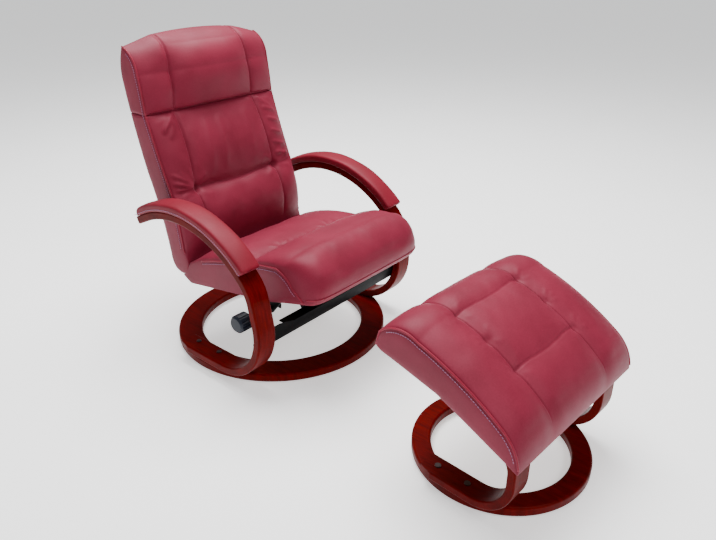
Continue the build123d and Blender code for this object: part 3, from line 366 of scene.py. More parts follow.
def box_cutter(low, high, place):
    xs, ys, zs = zip(low, high)
    corners = [(x, y, z) for x in xs for y in ys for z in zs]
    faces = [(0, 1, 3, 2), (4, 6, 7, 5), (0, 4, 5, 1), (2, 3, 7, 6), (0, 2, 6, 4), (1, 5, 7, 3)]
    return mesh_object("cutter", place(np.array(corners, float)), faces, smooth=False)


def prism_cutter(rim, low, high, place):
    """A prism along X from low to high; rim is its outline in Y and Z."""
    count = len(rim)
    points = [(x, y, z) for x in (low, high) for y, z in rim]
    faces = [(k, (k + 1) % count, count + (k + 1) % count, count + k) for k in range(count)]
    faces += [tuple(range(count))[::-1], tuple(range(count, 2 * count))]
    return mesh_object("cutter", place(np.array(points, float)), faces, smooth=False)


def rod_cutter(radius, low, high, place):
    angles = np.linspace(0, 2 * math.pi, 48, endpoint=False)
    return prism_cutter([(radius * math.cos(a), radius * math.sin(a)) for a in angles], low, high, place)


def sector_cutter(radius, start, end, low, high, place):
    """A slice of a disc round the hinge, from start to end in degrees."""
    rim = [(0.0, 0.0)] + [polar(angle, radius) for angle in np.linspace(start, end, 25)]
    return prism_cutter(rim, low, high, place)


def welt_rings(path, radius, sides=8):
    """Points and faces of a round welt along a path."""
    ahead = np.concatenate([path[1:], path[-1:]])
    behind = np.concatenate([path[:1], path[:-1]])
    tangent = ahead - behind
    tangent /= np.linalg.norm(tangent, axis=1)[:, None]
    # Where the path runs along X, the ring is set out from Z instead
    side = np.cross(tangent, (1.0, 0.0, 0.0))
    weak = np.linalg.norm(side, axis=1) < 0.2
    side[weak] = np.cross(tangent[weak], (0.0, 0.0, 1.0))
    side /= np.linalg.norm(side, axis=1)[:, None]
    other = np.cross(tangent, side)
    points = []
    for k in range(sides):
        angle = 2 * math.pi * k / sides
        points.append(path + radius * (math.cos(angle) * side + math.sin(angle) * other))
    points = np.stack(points, 1).reshape(-1, 3)
    faces = grid_faces(len(path), sides, closed=True)
    faces.append(tuple(range(sides)))
    faces.append(tuple(range(len(points) - sides, len(points)))[::-1])
    return points, faces


def welts(name, paths, radius):
    """One mesh of round welts along several paths."""
    points, faces = [], []
    for path in paths:
        ring_points, ring_faces = welt_rings(path, radius)
        first = sum(len(part) for part in points)
        points.append(ring_points)
        faces += [tuple(first + k for k in face) for face in ring_faces]
    return mesh_object(name, np.concatenate(points), faces)


# From each part's own millimetres to the scene
def seat_world(p):
    c, s = math.cos(SEAT_SLOPE), math.sin(SEAT_SLOPE)
    y = HINGE_Y + p[:, 1] * c + p[:, 2] * s
    z = HINGE_Z - p[:, 1] * s + p[:, 2] * c
    return np.stack([p[:, 0], y, z], 1) * MM + CHAIR


def hinge_world(p):
    return (p + (0, HINGE_Y, HINGE_Z)) * MM + CHAIR


def chair_world(p):
    return p * MM + CHAIR


def stool_world(p):
    c, s = math.cos(STOOL_TURN), math.sin(STOOL_TURN)
    x = p[:, 0] * c - p[:, 1] * s
    y = p[:, 0] * s + p[:, 1] * c
    return np.stack([x, y, p[:, 2]], 1) * MM + STOOL


def crown_of(x, half, power=5, blunt=0.57):
    """How far a cushion is crowned at a place across: 1 in the middle, 0 at its sides."""
    share = np.minimum(np.abs(x) / half, 1)
    return (1 - share**power) ** blunt


def full_crown(x, half):
    """A crown that is nearly flat and falls away close to the sides."""
    return crown_of(x, half, 9, 0.42)


def wing_crown(x, half):
    """A crown that stays full up to the long seams and falls away evenly on the wings."""
    share = np.minimum(np.abs(x) / half, 1)
    wing, drop = 0.38, 0.25
    return np.minimum(1 - drop * (share / (1 - wing)) ** 2, (1 - drop) * (1 - share) / wing)


def across(half, pitch, seams=()):
    """Places across a cushion, closer at its seams and sides."""
    right = stations(half, pitch, (*seams, half), fine=2.2, reach=10)
    return np.concatenate([-right[:0:-1], right])


def polar(angle, radius):
    return (radius * math.cos(math.radians(angle)), radius * math.sin(math.radians(angle)))


# Seat cushion. Each place of an outline is its Y and Z at the sides and how far the crown adds to them
SEAT = {
    "rear_mid": (-187, 20.4, 0, 21.6), "seam": (-341, 29.2, 0, 10.5),
    "nose_rise": (-418, 33.6, -4.5, 28.5), "nose_top": (-462, 31.9, -49.5, 27),
    "nose_turn": (-492.3, 12.1, -79.2, 34.5), "nose_front": (-514.3, -19.8, -85.5, 13.5),
    "nose_under": (-536.3, -44, -60, -6), "nose_bottom": (-550, -59.4, -30.6, -15),
}


def seat_upper(x):
    crown = full_crown(x, SEAT_HALF)
    at = {name: (y + crown * cy, z + crown * cz) for name, (y, z, cy, cz) in SEAT.items()}
    return chain(
        arc(polar(SEAT_ANGLES[0], SEAT_BARREL), at["rear_mid"], at["seam"], 44),
        arc(at["seam"], at["nose_rise"], at["nose_top"], 22),
        arc(at["nose_top"], at["nose_turn"], at["nose_front"], 16),
        arc(at["nose_front"], at["nose_under"], at["nose_bottom"], 12),
    )


def seat_lower(x):
    crown = full_crown(x, SEAT_HALF)
    y, z, cy, cz = SEAT["nose_bottom"]
    heel, rear, belly = (5, -52), (-25, -76), (-400, -80)
    path = chain(
        line(polar(SEAT_ANGLES[-1], SEAT_BARREL), heel, 3), line(heel, rear, 6),
        line(rear, belly, 40), line(belly, (y + crown * cy, z + crown * cz), 24),
    )
    return resample(path, length_shares(seat_upper(x)))


def seat_start(x):
    return arc(*(polar(angle, SEAT_BARREL) for angle in SEAT_ANGLES), PANEL_ROWS + 2)


seat = Cushion("seat_leather", across(SEAT_HALF, 9), seat_upper, seat_lower, start=seat_start)


def seat_hold(x, y, z, top):
    hold = np.where(top > 0.5, 0.0, 1.0)
    hold = np.maximum(hold, bump(y - SEAT_SEAM, 5))
    hold = np.maximum(hold, np.abs(x) > SEAT_HALF - 3)
    hold = np.maximum(hold, (y > -60) | (z < -40))
    return np.clip(hold, 0, 1)


def seat_relief(x, y, z, top):
    ax = np.abs(x)
    inner = np.clip((SEAT_HALF - 5 - ax) / 30, 0, 1)
    seam = y - SEAT_SEAM + 4 * np.cos(x / 60)
    on_top = np.clip((z + 5) / 12, 0, 1)
    relief = -3.8 * bump(seam, 3) - 3.2 * bump(seam, 18)
    relief += 0.25 * waves(x, y * 0.15, 3, 26.0) * bump(seam, 26) * (1 - bump(seam, 4))
    rays = ((40, 26, 2.2, 6), (-38, 30, 2.0, 6), (30, -34, 1.8, 6), (-34, -28, 2.2, 6), (4, 48, 1.5, 6))
    for tuft in (-SEAT_TUFTS, SEAT_TUFTS):
        relief -= 5 * bump(np.hypot(x - tuft, seam), 14)
        relief += folds(x, y, (tuft, SEAT_SEAM), rays, 0.15)
    relief += 0.9 * waves(x, y, 5, 150.0)
    relief += 0.25 * waves(x, y, 6, 45.0)
    return relief * inner * on_top * top


seat.puff(seat_hold, cap=11)
seat.sculpt(seat_relief)
seat_leather = seat.place(seat_world)

# Room under the seat for its board and frame
SEAT_ROOM = (-237.3, -520, -120), (237.3, 110, -27.8)
cut(seat_leather, box_cutter(*SEAT_ROOM, seat_world))

# Back: one crowned form, made as cushion, headrest and rear cover
BACK = {
    "lumbar_low": (-28.8, 45.9, 18, 0), "lumbar": (-19.4, 131, 36, 0),
    "tuft_seam": (0.9, TUFT_SEAM, 7.9, 0), "middle": (40.5, 334, 27, 0),
    "pillow_seam": (81.4, PILLOW_SEAM, 7.2, 0), "pillow_low": (85.5, 504.4, 18, 0),
    "pillow": (95.4, 576.4, 21.6, 3.4), "pillow_top": (122.4, 635.4, 18, 27.2), "top": (156.6, 655, 0, 34),
    "rear_top": (170.1, 632.1, -3.6, 25.5), "rear_head": (179.1, 543.7, 0, 0),
    "rear_neck": (163.1, PILLOW_SEAM, 0, 0), "rear_middle": (115.2, 275.1, 0, 0),
    "rear_waist": (62.1, 104.8, 0, 0),
}
HEAD_PLACES = ("pillow", "pillow_top", "top", "rear_top")
LUMBAR_PLACES = ("lumbar_low", "lumbar", "tuft_seam")


def back_points(x):
    at = {}
    for name, (y, z, cy, cz) in BACK.items():
        crown = crown_of(x, BACK_HALF)
        if name in HEAD_PLACES:
            crown = wing_crown(x, BACK_HALF)
        if name in LUMBAR_PLACES:
            crown = full_crown(x, BACK_HALF)
        at[name] = (y - crown * cy, z + crown * cz)
    return at


def at_height(path, z):
    """The place where a rising path reaches a height, and the index of its first point up there."""
    k = int(np.argmax(path[:, 1] >= z))
    share = (z - path[k - 1, 1]) / (path[k, 1] - path[k - 1, 1])
    point = path[k - 1] + share * (path[k] - path[k - 1])
    return point, k


def back_front(x):
    at = back_points(x)
    return chain(
        line(polar(BACK_ANGLES[0], BACK_BARREL), at["lumbar_low"], 4),
        arc(at["lumbar_low"], at["lumbar"], at["tuft_seam"], 26),
        arc(at["tuft_seam"], at["middle"], at["pillow_seam"], 34),
    )


def back_rear_full(x):
    """The rear outline from the heel on the barrel up to the top."""
    at = back_points(x)
    return chain(
        arc(polar(BACK_ANGLES[-1] - 360, BACK_BARREL), at["rear_waist"], at["rear_middle"], 24),
        arc(at["rear_middle"], at["rear_neck"], at["rear_head"], 40),
        arc(at["rear_head"], at["rear_top"], at["top"], 22),
    )


def back_rear(x):
    path = back_rear_full(x)
    point, k = at_height(path, PILLOW_SEAM)
    return resample(np.concatenate([path[:k], point[None]]), length_shares(back_front(x)))


def back_start(x):
    """Places round the barrel at the back's lower end."""
    barrel = chain(
        arc(*(polar(angle, BACK_BARREL) for angle in BACK_ANGLES[:3]), 8),
        arc(*(polar(angle, BACK_BARREL) for angle in BACK_ANGLES[2:]), 8),
    )
    return barrel[np.linspace(0, 14, PANEL_ROWS + 2).round().astype(int)]


back = Cushion("back_leather", across(BACK_HALF, 9, (166,)), back_front, back_rear, start=back_start)


def seam_x(z):
    """How far out the two long seams of the back run at a height over the hinge."""
    return np.interp(z, [60, TUFT_SEAM, PILLOW_SEAM, 560, 660], [168, BACK_TUFTS, 160, 157, 152])


def back_hold(x, y, z, top):
    hold = np.where(top > 0.5, 0.0, 1.0)
    hold = np.maximum(hold, bump(z - TUFT_SEAM, 5) * (np.abs(x) < BACK_TUFTS + 4))
    hold = np.maximum(hold, bump(np.abs(x) - seam_x(z), 5))
    hold = np.maximum(hold, np.abs(x) > BACK_HALF - 3)
    hold = np.maximum(hold, (z < 50) | (z > PILLOW_SEAM - 7))
    return np.clip(hold, 0, 1)


# Folds out from the back's tufts, and on its wings
TUFT_RAYS = (
    (70, 34, 3.6, 7), (74, 12, 3.2, 6), (66, -14, 2.6, 7), (48, 62, 2.6, 8),
    (-46, 44, 2.4, 9), (-60, 18, 2.0, 8), (-52, -30, 2.2, 9), (10, 70, 1.8, 8),
)
WING_FOLDS = (
    ((182, 420), (238, 396)), ((184, 384), (243, 360)), ((184, 346), (245, 318)),
    ((182, 306), (246, 280)), ((181, 268), (248, 252)), ((-176, 236), (-246, 286)),
    ((-176, 231), (-250, 258)), ((-176, 226), (-250, 234)), ((-186, 448), (-232, 402)),
    ((-182, 438), (-210, 384)),
)


def back_relief(x, y, z, top):
    ax = np.abs(x)
    sx = seam_x(z)
    inner = np.clip((BACK_HALF - 4 - ax) / 22, 0, 1)
    front = top * np.clip((z - 40) / 30, 0, 1)
    long_seam = ax - sx
    relief = -3.2 * bump(long_seam, 2.6) - 1.8 * bump(long_seam, 9)
    mid_seam = z - TUFT_SEAM + 3.5 * np.cos(x / 50)
    between = np.clip((sx + 2 - ax) / 6, 0, 1)
    relief -= (5.5 * bump(mid_seam, 3.2) + 4.5 * bump(mid_seam, 15)) * between
    pucker = bump(mid_seam, 24) * (1 - bump(mid_seam, 4)) * between
    relief += 0.5 * waves(x, z * 0.2, 11, 30.0) * pucker
    relief += 0.5 * waves(x * 0.3, z, 12, 36.0) * bump(long_seam, 16) * (1 - bump(long_seam, 4))
    for side in (-1, 1):
        tuft = (side * BACK_TUFTS, TUFT_SEAM)
        relief -= 7.5 * bump(np.hypot(x - tuft[0], z - tuft[1]), 12)
        relief += folds(x, z, tuft, TUFT_RAYS, 0.1, side)
        for dx, dz, height in ((30, -38, 2.2), (58, -52, 2.6), (76, -30, 1.8)):
            start, end = (side * 172, PILLOW_SEAM - 4), (side * (172 + dx), PILLOW_SEAM + dz)
            relief += fold(x, z, start, end, height, 7)
    for cx, tilt, height in ((-92, 20, 2.8), (-40, 26, 3.4), (28, -14, 1.8), (84, 10, 2.4)):
        relief += fold(x, z, (cx, 258), (cx + tilt, 430), height, 13)
    for start, end in WING_FOLDS:
        relief += fold(x, z, start, end, 4.2, 6)
    relief -= 2.5 * bump(z - PILLOW_SEAM, 8)
    relief += 0.9 * waves(x, z * 0.6, 13, 120.0) + 0.25 * waves(x, z, 14, 45.0)
    return relief * inner * front


back.puff(back_hold, cap=11, smoothing=9)
back.sculpt(back_relief)
back_leather = back.place(hinge_world)


def pillow_front(x):
    at = back_points(x)
    return chain(
        arc(at["pillow_seam"], at["pillow_low"], at["pillow"], 22),
        arc(at["pillow"], at["pillow_top"], at["top"], 24),
    )


def pillow_rear(x):
    path = back_rear_full(x)
    point, k = at_height(path, PILLOW_SEAM)
    return resample(np.concatenate([point[None], path[k:]]), length_shares(pillow_front(x)))


pillow = Cushion("headrest_leather", across(BACK_HALF, 9, (157,)), pillow_front, pillow_rear)


def pillow_hold(x, y, z, top):
    hold = np.where(top > 0.5, 0.0, 1.0)
    hold = np.maximum(hold, bump(np.abs(x) - seam_x(z), 5))
    hold = np.maximum(hold, np.abs(x) > BACK_HALF - 3)
    hold = np.maximum(hold, z < PILLOW_SEAM + 7)
    return np.clip(hold, 0, 1)


def pillow_relief(x, y, z, top):
    ax = np.abs(x)
    long_seam = ax - seam_x(z)
    inner = np.clip((BACK_HALF - 4 - ax) / 22, 0, 1)
    relief = -4.2 * bump(long_seam, 2.8) - 2.4 * bump(long_seam, 10)
    # The headrest's own roll between the long seams
    roll = np.sin(math.pi * np.clip((z - 455) / 200, 0, 1)) ** 0.8
    relief += 12 * np.clip(1 - (ax / 155) ** 4, 0, 1) * roll
    relief -= 6 * bump(z - PILLOW_SEAM, 7)
    relief += 0.8 * waves(x * 0.4, z, 21, 40.0) * bump(long_seam, 18) * (1 - bump(long_seam, 4))
    relief += 1.2 * waves(x, z, 22, 130.0)
    return relief * inner * top


pillow.puff(pillow_hold, cap=10, smoothing=16)
pillow.sculpt(pillow_relief)
headrest_leather = pillow.place(hinge_world)

# Room in the back's lower end for the hinge's ears and tube, and for the stay and its lever. Each
# ear has a round and a slice, in which it stays while the back turns
EARS, EAR_ROOM, EAR_RADIUS = (230.3, -238.7), 8.4, 27.5
SWEEP_RADIUS, SWEEP = 45.8, (186, 305)
TUBE_RADIUS, TUBE_HALF = 12.7, 231
STAY_ROOM = (-213, -60, -60), (-196.5, 60, -28)
hinge_cuts = []
for ear in EARS:
    hinge_cuts.append(rod_cutter(EAR_RADIUS, ear, ear + EAR_ROOM, hinge_world))
    hinge_cuts.append(sector_cutter(SWEEP_RADIUS, *SWEEP, ear, ear + EAR_ROOM, hinge_world))
hinge_cuts.append(rod_cutter(TUBE_RADIUS, -TUBE_HALF, TUBE_HALF, hinge_world))
hinge_cuts.append(box_cutter(*STAY_ROOM, hinge_world))
cut(back_leather, *hinge_cuts)

# Footstool cushion
STOOL_SHAPE = {
    "front_foot": (-197, 222, 0, 0), "front": (-191, 255.6, -8, 2), "front_rise": (-148, 314.6, -7, 14),
    "middle": (-40, 379.3, 0, 20), "rear_rise": (80, 426.1, 0, 20), "rear_top": (152, 433.9, 2, 18),
    "rear_edge": (194, 408.6, 8, 6), "rear_foot": (204, 369.7, 0, 0),
}


def stool_crown(x):
    """The crown dips along the long seams."""
    return crown_of(x, STOOL_HALF) - 0.3 * bump(abs(x) - STOOL_SEAM, 26)


def stool_upper(x):
    crown = stool_crown(x)
    at = {name: (y + crown * cy, z + crown * cz) for name, (y, z, cy, cz) in STOOL_SHAPE.items()}
    return chain(
        arc(at["front_foot"], at["front"], at["front_rise"], 18),
        arc(at["front_rise"], at["middle"], at["rear_rise"], 40),
        arc(at["rear_rise"], at["rear_top"], at["rear_edge"], 22),
        line(at["rear_edge"], at["rear_foot"], 6),
    )


def stool_lower(x):
    corners = ((-197, 222), (-178.2, 228.2), (23, 316.3), (190, 357.3), (204, 369.7))
    path = chain(*(line(p, q, n) for p, q, n in zip(corners, corners[1:], (4, 30, 24, 4))))
    return resample(path, length_shares(stool_upper(x)))


stool = Cushion("stool_leather", across(STOOL_HALF, 8, (STOOL_SEAM,)), stool_upper, stool_lower, side_bulge=4)


def stool_hold(x, y, z, top):
    hold = np.where(top > 0.5, 0.0, 1.0)
    hold = np.maximum(hold, bump(np.abs(x) - STOOL_SEAM, 5))
    hold = np.maximum(hold, np.abs(x) > STOOL_HALF - 4)
    for row in (STOOL_ROWS[0], STOOL_ROWS[2]):
        hold = np.maximum(hold, bump(y - row, 5) * (np.abs(x) < STOOL_SEAM))
    hold = np.maximum(hold, (y < -180) | (y > 196))
    return np.clip(hold, 0, 1)


def stool_relief(x, y, z, top):
    ax = np.abs(x)
    long_seam = ax - STOOL_SEAM
    inner = np.clip((STOOL_HALF - 4 - ax) / 26, 0, 1)
    inner = inner * np.clip((y + 192) / 30, 0, 1) * np.clip((200 - y) / 20, 0, 1)
    relief = -2.8 * bump(long_seam, 2.0) - 1.2 * bump(long_seam, 18)
    relief += 0.2 * waves(x * 0.2, y, 31, 40.0) * bump(long_seam, 24) * (1 - bump(long_seam, 4))
    between = np.clip((STOOL_SEAM + 2 - ax) / 8, 0, 1)
    for row in (STOOL_ROWS[0], STOOL_ROWS[2]):
        cross = y - row + 3 * np.cos(x / 40)
        relief -= (2.6 * bump(cross, 2.0) + 0.8 * bump(cross, 14)) * between
        relief += 0.2 * waves(x, y * 0.2, 32, 40.0) * bump(cross, 22) * (1 - bump(cross, 4)) * between
    rays = ((34, 22, 1.2, 6), (36, -18, 1.0, 6), (-32, 26, 0.9, 6), (-30, -26, 0.9, 6), (44, 2, 0.7, 6))
    for side in (-1, 1):
        for row in STOOL_ROWS:
            tuft = (side * STOOL_SEAM, row)
            relief -= 4.4 * bump(np.hypot(x - tuft[0], y - row), 13)
            relief += folds(x, y, tuft, rays, 0.15, side)
    relief += 0.8 * waves(x, y, 33, 140.0) + 0.15 * waves(x, y, 34, 50.0)
    return relief * inner * top


stool.puff(stool_hold, cap=7, smoothing=18)
stool.sculpt(stool_relief)
stool_leather = stool.place(stool_world)


# Arm pads along the upper line of each arm, given as its corners in Y and Z and their radii
ARM_LINE = [(105, 34), (-321, 34), (-260, 361), (-29, 583), (245, 457)]
ARM_RADII = [183, 149, 375]
PAD_FRONT, PAD_FRONT_NORMAL = np.array((-232.0, 399.0)), np.array((0.643, 0.766))
PAD_HALF, PAD_HEIGHT, ARM_MIDDLE = 35.0, 27.0, 327.0
PAD_TIP = 24.0


def filleted(points, radii, pitch):
    """A polyline along straight runs with rounded corners."""
    points = [np.array(p, float) for p in points]
    runs = []
    here = points[0]
    for before, corner, after, radius in zip(points, points[1:], points[2:], radii):
        back, ahead = before - corner, after - corner
        back /= np.hypot(*back)
        ahead /= np.hypot(*ahead)
        half = math.acos(np.clip(back @ ahead, -1, 1)) / 2
        reach = radius / math.tan(half)
        middle = back + ahead
        middle /= np.hypot(*middle)
        top = corner + middle * (radius / math.sin(half) - radius)
        start, end = corner + back * reach, corner + ahead * reach
        runs.append(line(here, start, max(2, int(np.hypot(*(start - here)) / pitch))))
        runs.append(arc(start, top, end, max(6, int(radius * (math.pi - 2 * half) / pitch))))
        here = end
    runs.append(line(here, points[-1], max(2, int(np.hypot(*(points[-1] - here)) / pitch))))
    return chain(*runs)


def pad_path():
    """Places and outward directions along the padded part of the arm."""
    path = filleted(ARM_LINE, ARM_RADII, 5)
    ahead = np.gradient(path, axis=0)
    ahead /= np.hypot(*ahead.T)[:, None]
    outwards = np.stack([-ahead[:, 1], ahead[:, 0]], 1)
    beyond = (path - PAD_FRONT) @ PAD_FRONT_NORMAL
    first = int(np.argmax((beyond > 4) & (path[:, 1] > 300)))
    return path[first:], ahead[first:], outwards[first:]


def pad_section():
    """Loop across a pad: flat below, square sides, crowned top."""
    shares = np.array([1.0, 0.985, 0.95, 0.88, 0.75, 0.6, 0.4, 0.2])
    heights = np.array([0.62, 0.7, 0.79, 0.86, 0.92, 0.955, 0.98, 0.995])
    half = [(1.0, 0.01), (1.0, 0.22), (1.0, 0.45)] + list(zip(shares, heights))
    left = [(-x, z) for x, z in half]
    loop = left + [(0.0, 1.0)] + [(x, z) for x, z in half[::-1]]
    loop += [(0.6, 0.01), (0.2, 0.01), (-0.2, 0.01), (-0.6, 0.01)]
    return np.array(loop) * (PAD_HALF, PAD_HEIGHT)


def arm_pad(name, side):
    """A pad whose front is cut level with PAD_FRONT and whose rear tip is rounded."""
    path, ahead, outwards = pad_path()
    along = np.concatenate([[0], np.cumsum(np.hypot(*np.diff(path, axis=0).T))])
    total = along[-1]
    loop = pad_section()
    # Rows along the pad: place, share of the width, share of the height
    rows = [(-3.0, 0.8, 0.76), (-1.6, 0.92, 0.9), (1.2, 0.98, 0.97), (4.0, 1.0, 1.0)]
    rows += [(float(a), 1.0, 1.0) for a in along[1:] if 6 < a < total - PAD_TIP]
    for t in np.linspace(0, 1.45, 8):
        place = total - PAD_TIP + 18 * math.sin(t)
        rows.append((place, 1 - 0.1 * (1 - math.cos(t)), max(0.12, math.cos(t))))
    points = []
    for place, wide, high in rows:
        here, forward, out = (
            np.array([np.interp(place, along, values[:, k]) for k in (0, 1)])
            for values in (path, ahead, outwards)
        )
        here = here + forward * min(place, 0)
        lean = max(0.0, 1 - place / 40)
        for x, z in loop:
            height = (z - 0.5 * PAD_HEIGHT) * high + 0.5 * PAD_HEIGHT if place < 2 else z * high
            spot = here + out * max(height, 0.3)
            short = (spot - here) @ PAD_FRONT_NORMAL / (forward @ PAD_FRONT_NORMAL)
            spot = spot - forward * short * lean
            ripple = 0.5 * math.sin(place / 23 + x / 19) * (z > 20)
            spot = spot + out * ripple
            points.append((side * (ARM_MIDDLE + x * wide), spot[0], spot[1]))
    count = len(loop)
    faces = grid_faces(len(rows), count, closed=True)
    faces.append(tuple(range(count)))
    faces.append(tuple(range(len(points) - count, len(points)))[::-1])
    obj = mesh_object(name, chair_world(np.array(points)), faces)
    clean(obj.data)
    return obj


def pad_line(side, height):
    """A line along the outer side of a pad at a height over the wood."""
    path, _, outwards = pad_path()
    spots = path + outwards * height
    xs = np.full(len(spots), side * (ARM_MIDDLE + PAD_HALF + 0.2))
    return chair_world(np.stack([xs, spots[:, 0], spots[:, 1]], 1))


arm_pad_pieces = {"left": arm_pad("arm_pad_leather_left", 1), "right": arm_pad("arm_pad_leather_right", -1)}


def edge_line(upper, lower, half, to_world, side, inset, span, swell):
    """A line on a cushion's side panel, inset from its upper outline and swell outside it."""
    up, low = upper(half), lower(half)
    away = low - up
    away /= np.maximum(np.hypot(*away.T), 1e-6)[:, None]
    spots = (up + away * inset)[span]
    return to_world(np.stack([np.full(len(spots), side * (half + swell)), spots[:, 0], spots[:, 1]], 1))


# Of each cushion: its outlines, half width and place, the span of its welts, and the inset, span
# and swell of its stitches
PANELS = {
    "seat": (seat_upper, seat_lower, SEAT_HALF, seat_world, slice(10, None), 11, slice(12, -8), 3.0),
    "back": (back_front, back_rear, BACK_HALF, hinge_world, slice(2, None), 12, slice(4, None), 3.0),
    "pillow": (pillow_front, pillow_rear, BACK_HALF, hinge_world, slice(None), 12, slice(None, -8), 3.0),
    "stool": (stool_upper, stool_lower, STOOL_HALF, stool_world, slice(2, None), 9, slice(6, -10), 3.6),
}
edges = {name: [] for name in PANELS}
rows = {name: [] for name in PANELS}
for side in (-1, 1):
    for name, (*panel, welt_span, inset, stitch_span, swell) in PANELS.items():
        edges[name].append(edge_line(*panel, side, 0, welt_span, 1.0))
        rows[name].append(edge_line(*panel, side, inset, stitch_span, swell))
    rows["seat"].append(pad_line(side, 6.0))
nose_seam = np.array([(x, *seat_upper(x)[-4]) for x in np.linspace(3 - SEAT_HALF, SEAT_HALF - 3, 85)])
edges["seat"].append(seat_world(nose_seam))
seat_welts = welts("seat_welts", edges["seat"], WELT_RADIUS)
back_welts = welts("back_welts", edges["back"] + edges["pillow"], WELT_RADIUS)
stool_welts = welts("stool_welts", edges["stool"], STOOL_WELT_RADIUS)


# Stitches, repeated along the seams
def make_stitch_group():
    """Short rods along the edges of a mesh."""
    group = bpy.data.node_groups.new("stitches", "GeometryNodeTree")
    group.interface.new_socket("Geometry", in_out="INPUT", socket_type="NodeSocketGeometry")
    for name in ("Spacing", "Length", "Thickness"):
        group.interface.new_socket(name, in_out="INPUT", socket_type="NodeSocketFloat")
    group.interface.new_socket("Material", in_out="INPUT", socket_type="NodeSocketMaterial")
    group.interface.new_socket("Geometry", in_out="OUTPUT", socket_type="NodeSocketGeometry")
    add = group.nodes.new
    start, end = add("NodeGroupInput"), add("NodeGroupOutput")
    curve, spaced = add("GeometryNodeMeshToCurve"), add("GeometryNodeResampleCurve")
    spaced.mode = "LENGTH"
    tangent, turn = add("GeometryNodeInputTangent"), add("FunctionNodeAlignRotationToVector")
    thread, copies = add("GeometryNodeMeshCylinder"), add("GeometryNodeInstanceOnPoints")
    thread.inputs["Vertices"].default_value = 6
    solid, colored = add("GeometryNodeRealizeInstances"), add("GeometryNodeSetMaterial")
    for a, b in (
        (start.outputs["Geometry"], curve.inputs["Mesh"]), (curve.outputs["Curve"], spaced.inputs["Curve"]),
        (start.outputs["Spacing"], spaced.inputs["Length"]),
        (tangent.outputs["Tangent"], turn.inputs["Vector"]),
        (start.outputs["Thickness"], thread.inputs["Radius"]),
        (start.outputs["Length"], thread.inputs["Depth"]),
        (spaced.outputs["Curve"], copies.inputs["Points"]),
        (thread.outputs["Mesh"], copies.inputs["Instance"]),
        (turn.outputs["Rotation"], copies.inputs["Rotation"]),
        (copies.outputs["Instances"], solid.inputs["Geometry"]),
        (solid.outputs["Geometry"], colored.inputs["Geometry"]),
        (start.outputs["Material"], colored.inputs["Material"]),
        (colored.outputs["Geometry"], end.inputs["Geometry"]),
    ):
        group.links.new(a, b)
    return group


STITCHES = make_stitch_group()


def stitched(name, lines, material):
    """One mesh of stitches along several lines."""
    mesh = bpy.data.meshes.new(name)
    points = np.concatenate(lines)
    links, first = [], 0
    for run in lines:
        links += [(first + k, first + k + 1) for k in range(len(run) - 1)]
        first += len(run)
    mesh.from_pydata([tuple(p) for p in points], links, [])
    obj = new_object(name, mesh)
    modifier = obj.modifiers.new("Stitches", "NODES")
    modifier.node_group = STITCHES
    values = {
        "Spacing": STITCH_PITCH, "Length": STITCH_LENGTH, "Thickness": STITCH_RADIUS, "Material": material,
    }
    for item in STITCHES.interface.items_tree:
        if item.in_out == "INPUT" and item.name in values:
            modifier[item.identifier] = values[item.name]
    bake(obj)
    return obj


# Materials
def link(tree, start, end):
    tree.links.new(start, end)


def math_node(tree, operation, a, b):
    node = tree.nodes.new("ShaderNodeMath")
    node.operation = operation
    for socket, value in zip(node.inputs, (a, b)):
        if isinstance(value, (int, float)):
            socket.default_value = value
        else:
            link(tree, value, socket)
    return node.outputs[0]


def scaled(tree, value, factor, rest):
    """value * factor + rest, where rest is a number or another socket."""
    return math_node(tree, "ADD", math_node(tree, "MULTIPLY", value, factor), rest)


def noise(tree, vector, scale, detail=3, rough=0.5):
    node = tree.nodes.new("ShaderNodeTexNoise")
    node.inputs["Scale"].default_value = scale
    node.inputs["Detail"].default_value = detail
    node.inputs["Roughness"].default_value = rough
    link(tree, vector, node.inputs["Vector"])
    return node.outputs["Fac"]


def ramp(tree, value, stops):
    """A color that runs through stops of place and color as value rises."""
    node = tree.nodes.new("ShaderNodeValToRGB")
    while len(node.color_ramp.elements) < len(stops):
        node.color_ramp.elements.new(0.5)
    for element, (place, color) in zip(node.color_ramp.elements, stops):
        element.position = place
        element.color = (*color, 1)
    link(tree, value, node.inputs["Fac"])
    return node.outputs["Color"]


def multiply(tree, factor, color, mask):
    """The color, darkened by the mask by a share of factor."""
    node = tree.nodes.new("ShaderNodeMix")
    node.data_type = "RGBA"
    node.blend_type = "MULTIPLY"
    node.inputs["Factor"].default_value = factor
    link(tree, color, node.inputs["A"])
    link(tree, mask, node.inputs["B"])
    return node.outputs["Result"]


def new_group(name, outputs):
    """A node group that takes a vector; gives the group, that vector and its output node."""
    group = bpy.data.node_groups.new(name, "ShaderNodeTree")
    group.interface.new_socket("Vector", in_out="INPUT", socket_type="NodeSocketVector")
    for output in outputs:
        group.interface.new_socket(output, in_out="OUTPUT", socket_type="NodeSocketFloat")
    start = group.nodes.new("NodeGroupInput")
    return group, start.outputs["Vector"], group.nodes.new("NodeGroupOutput")


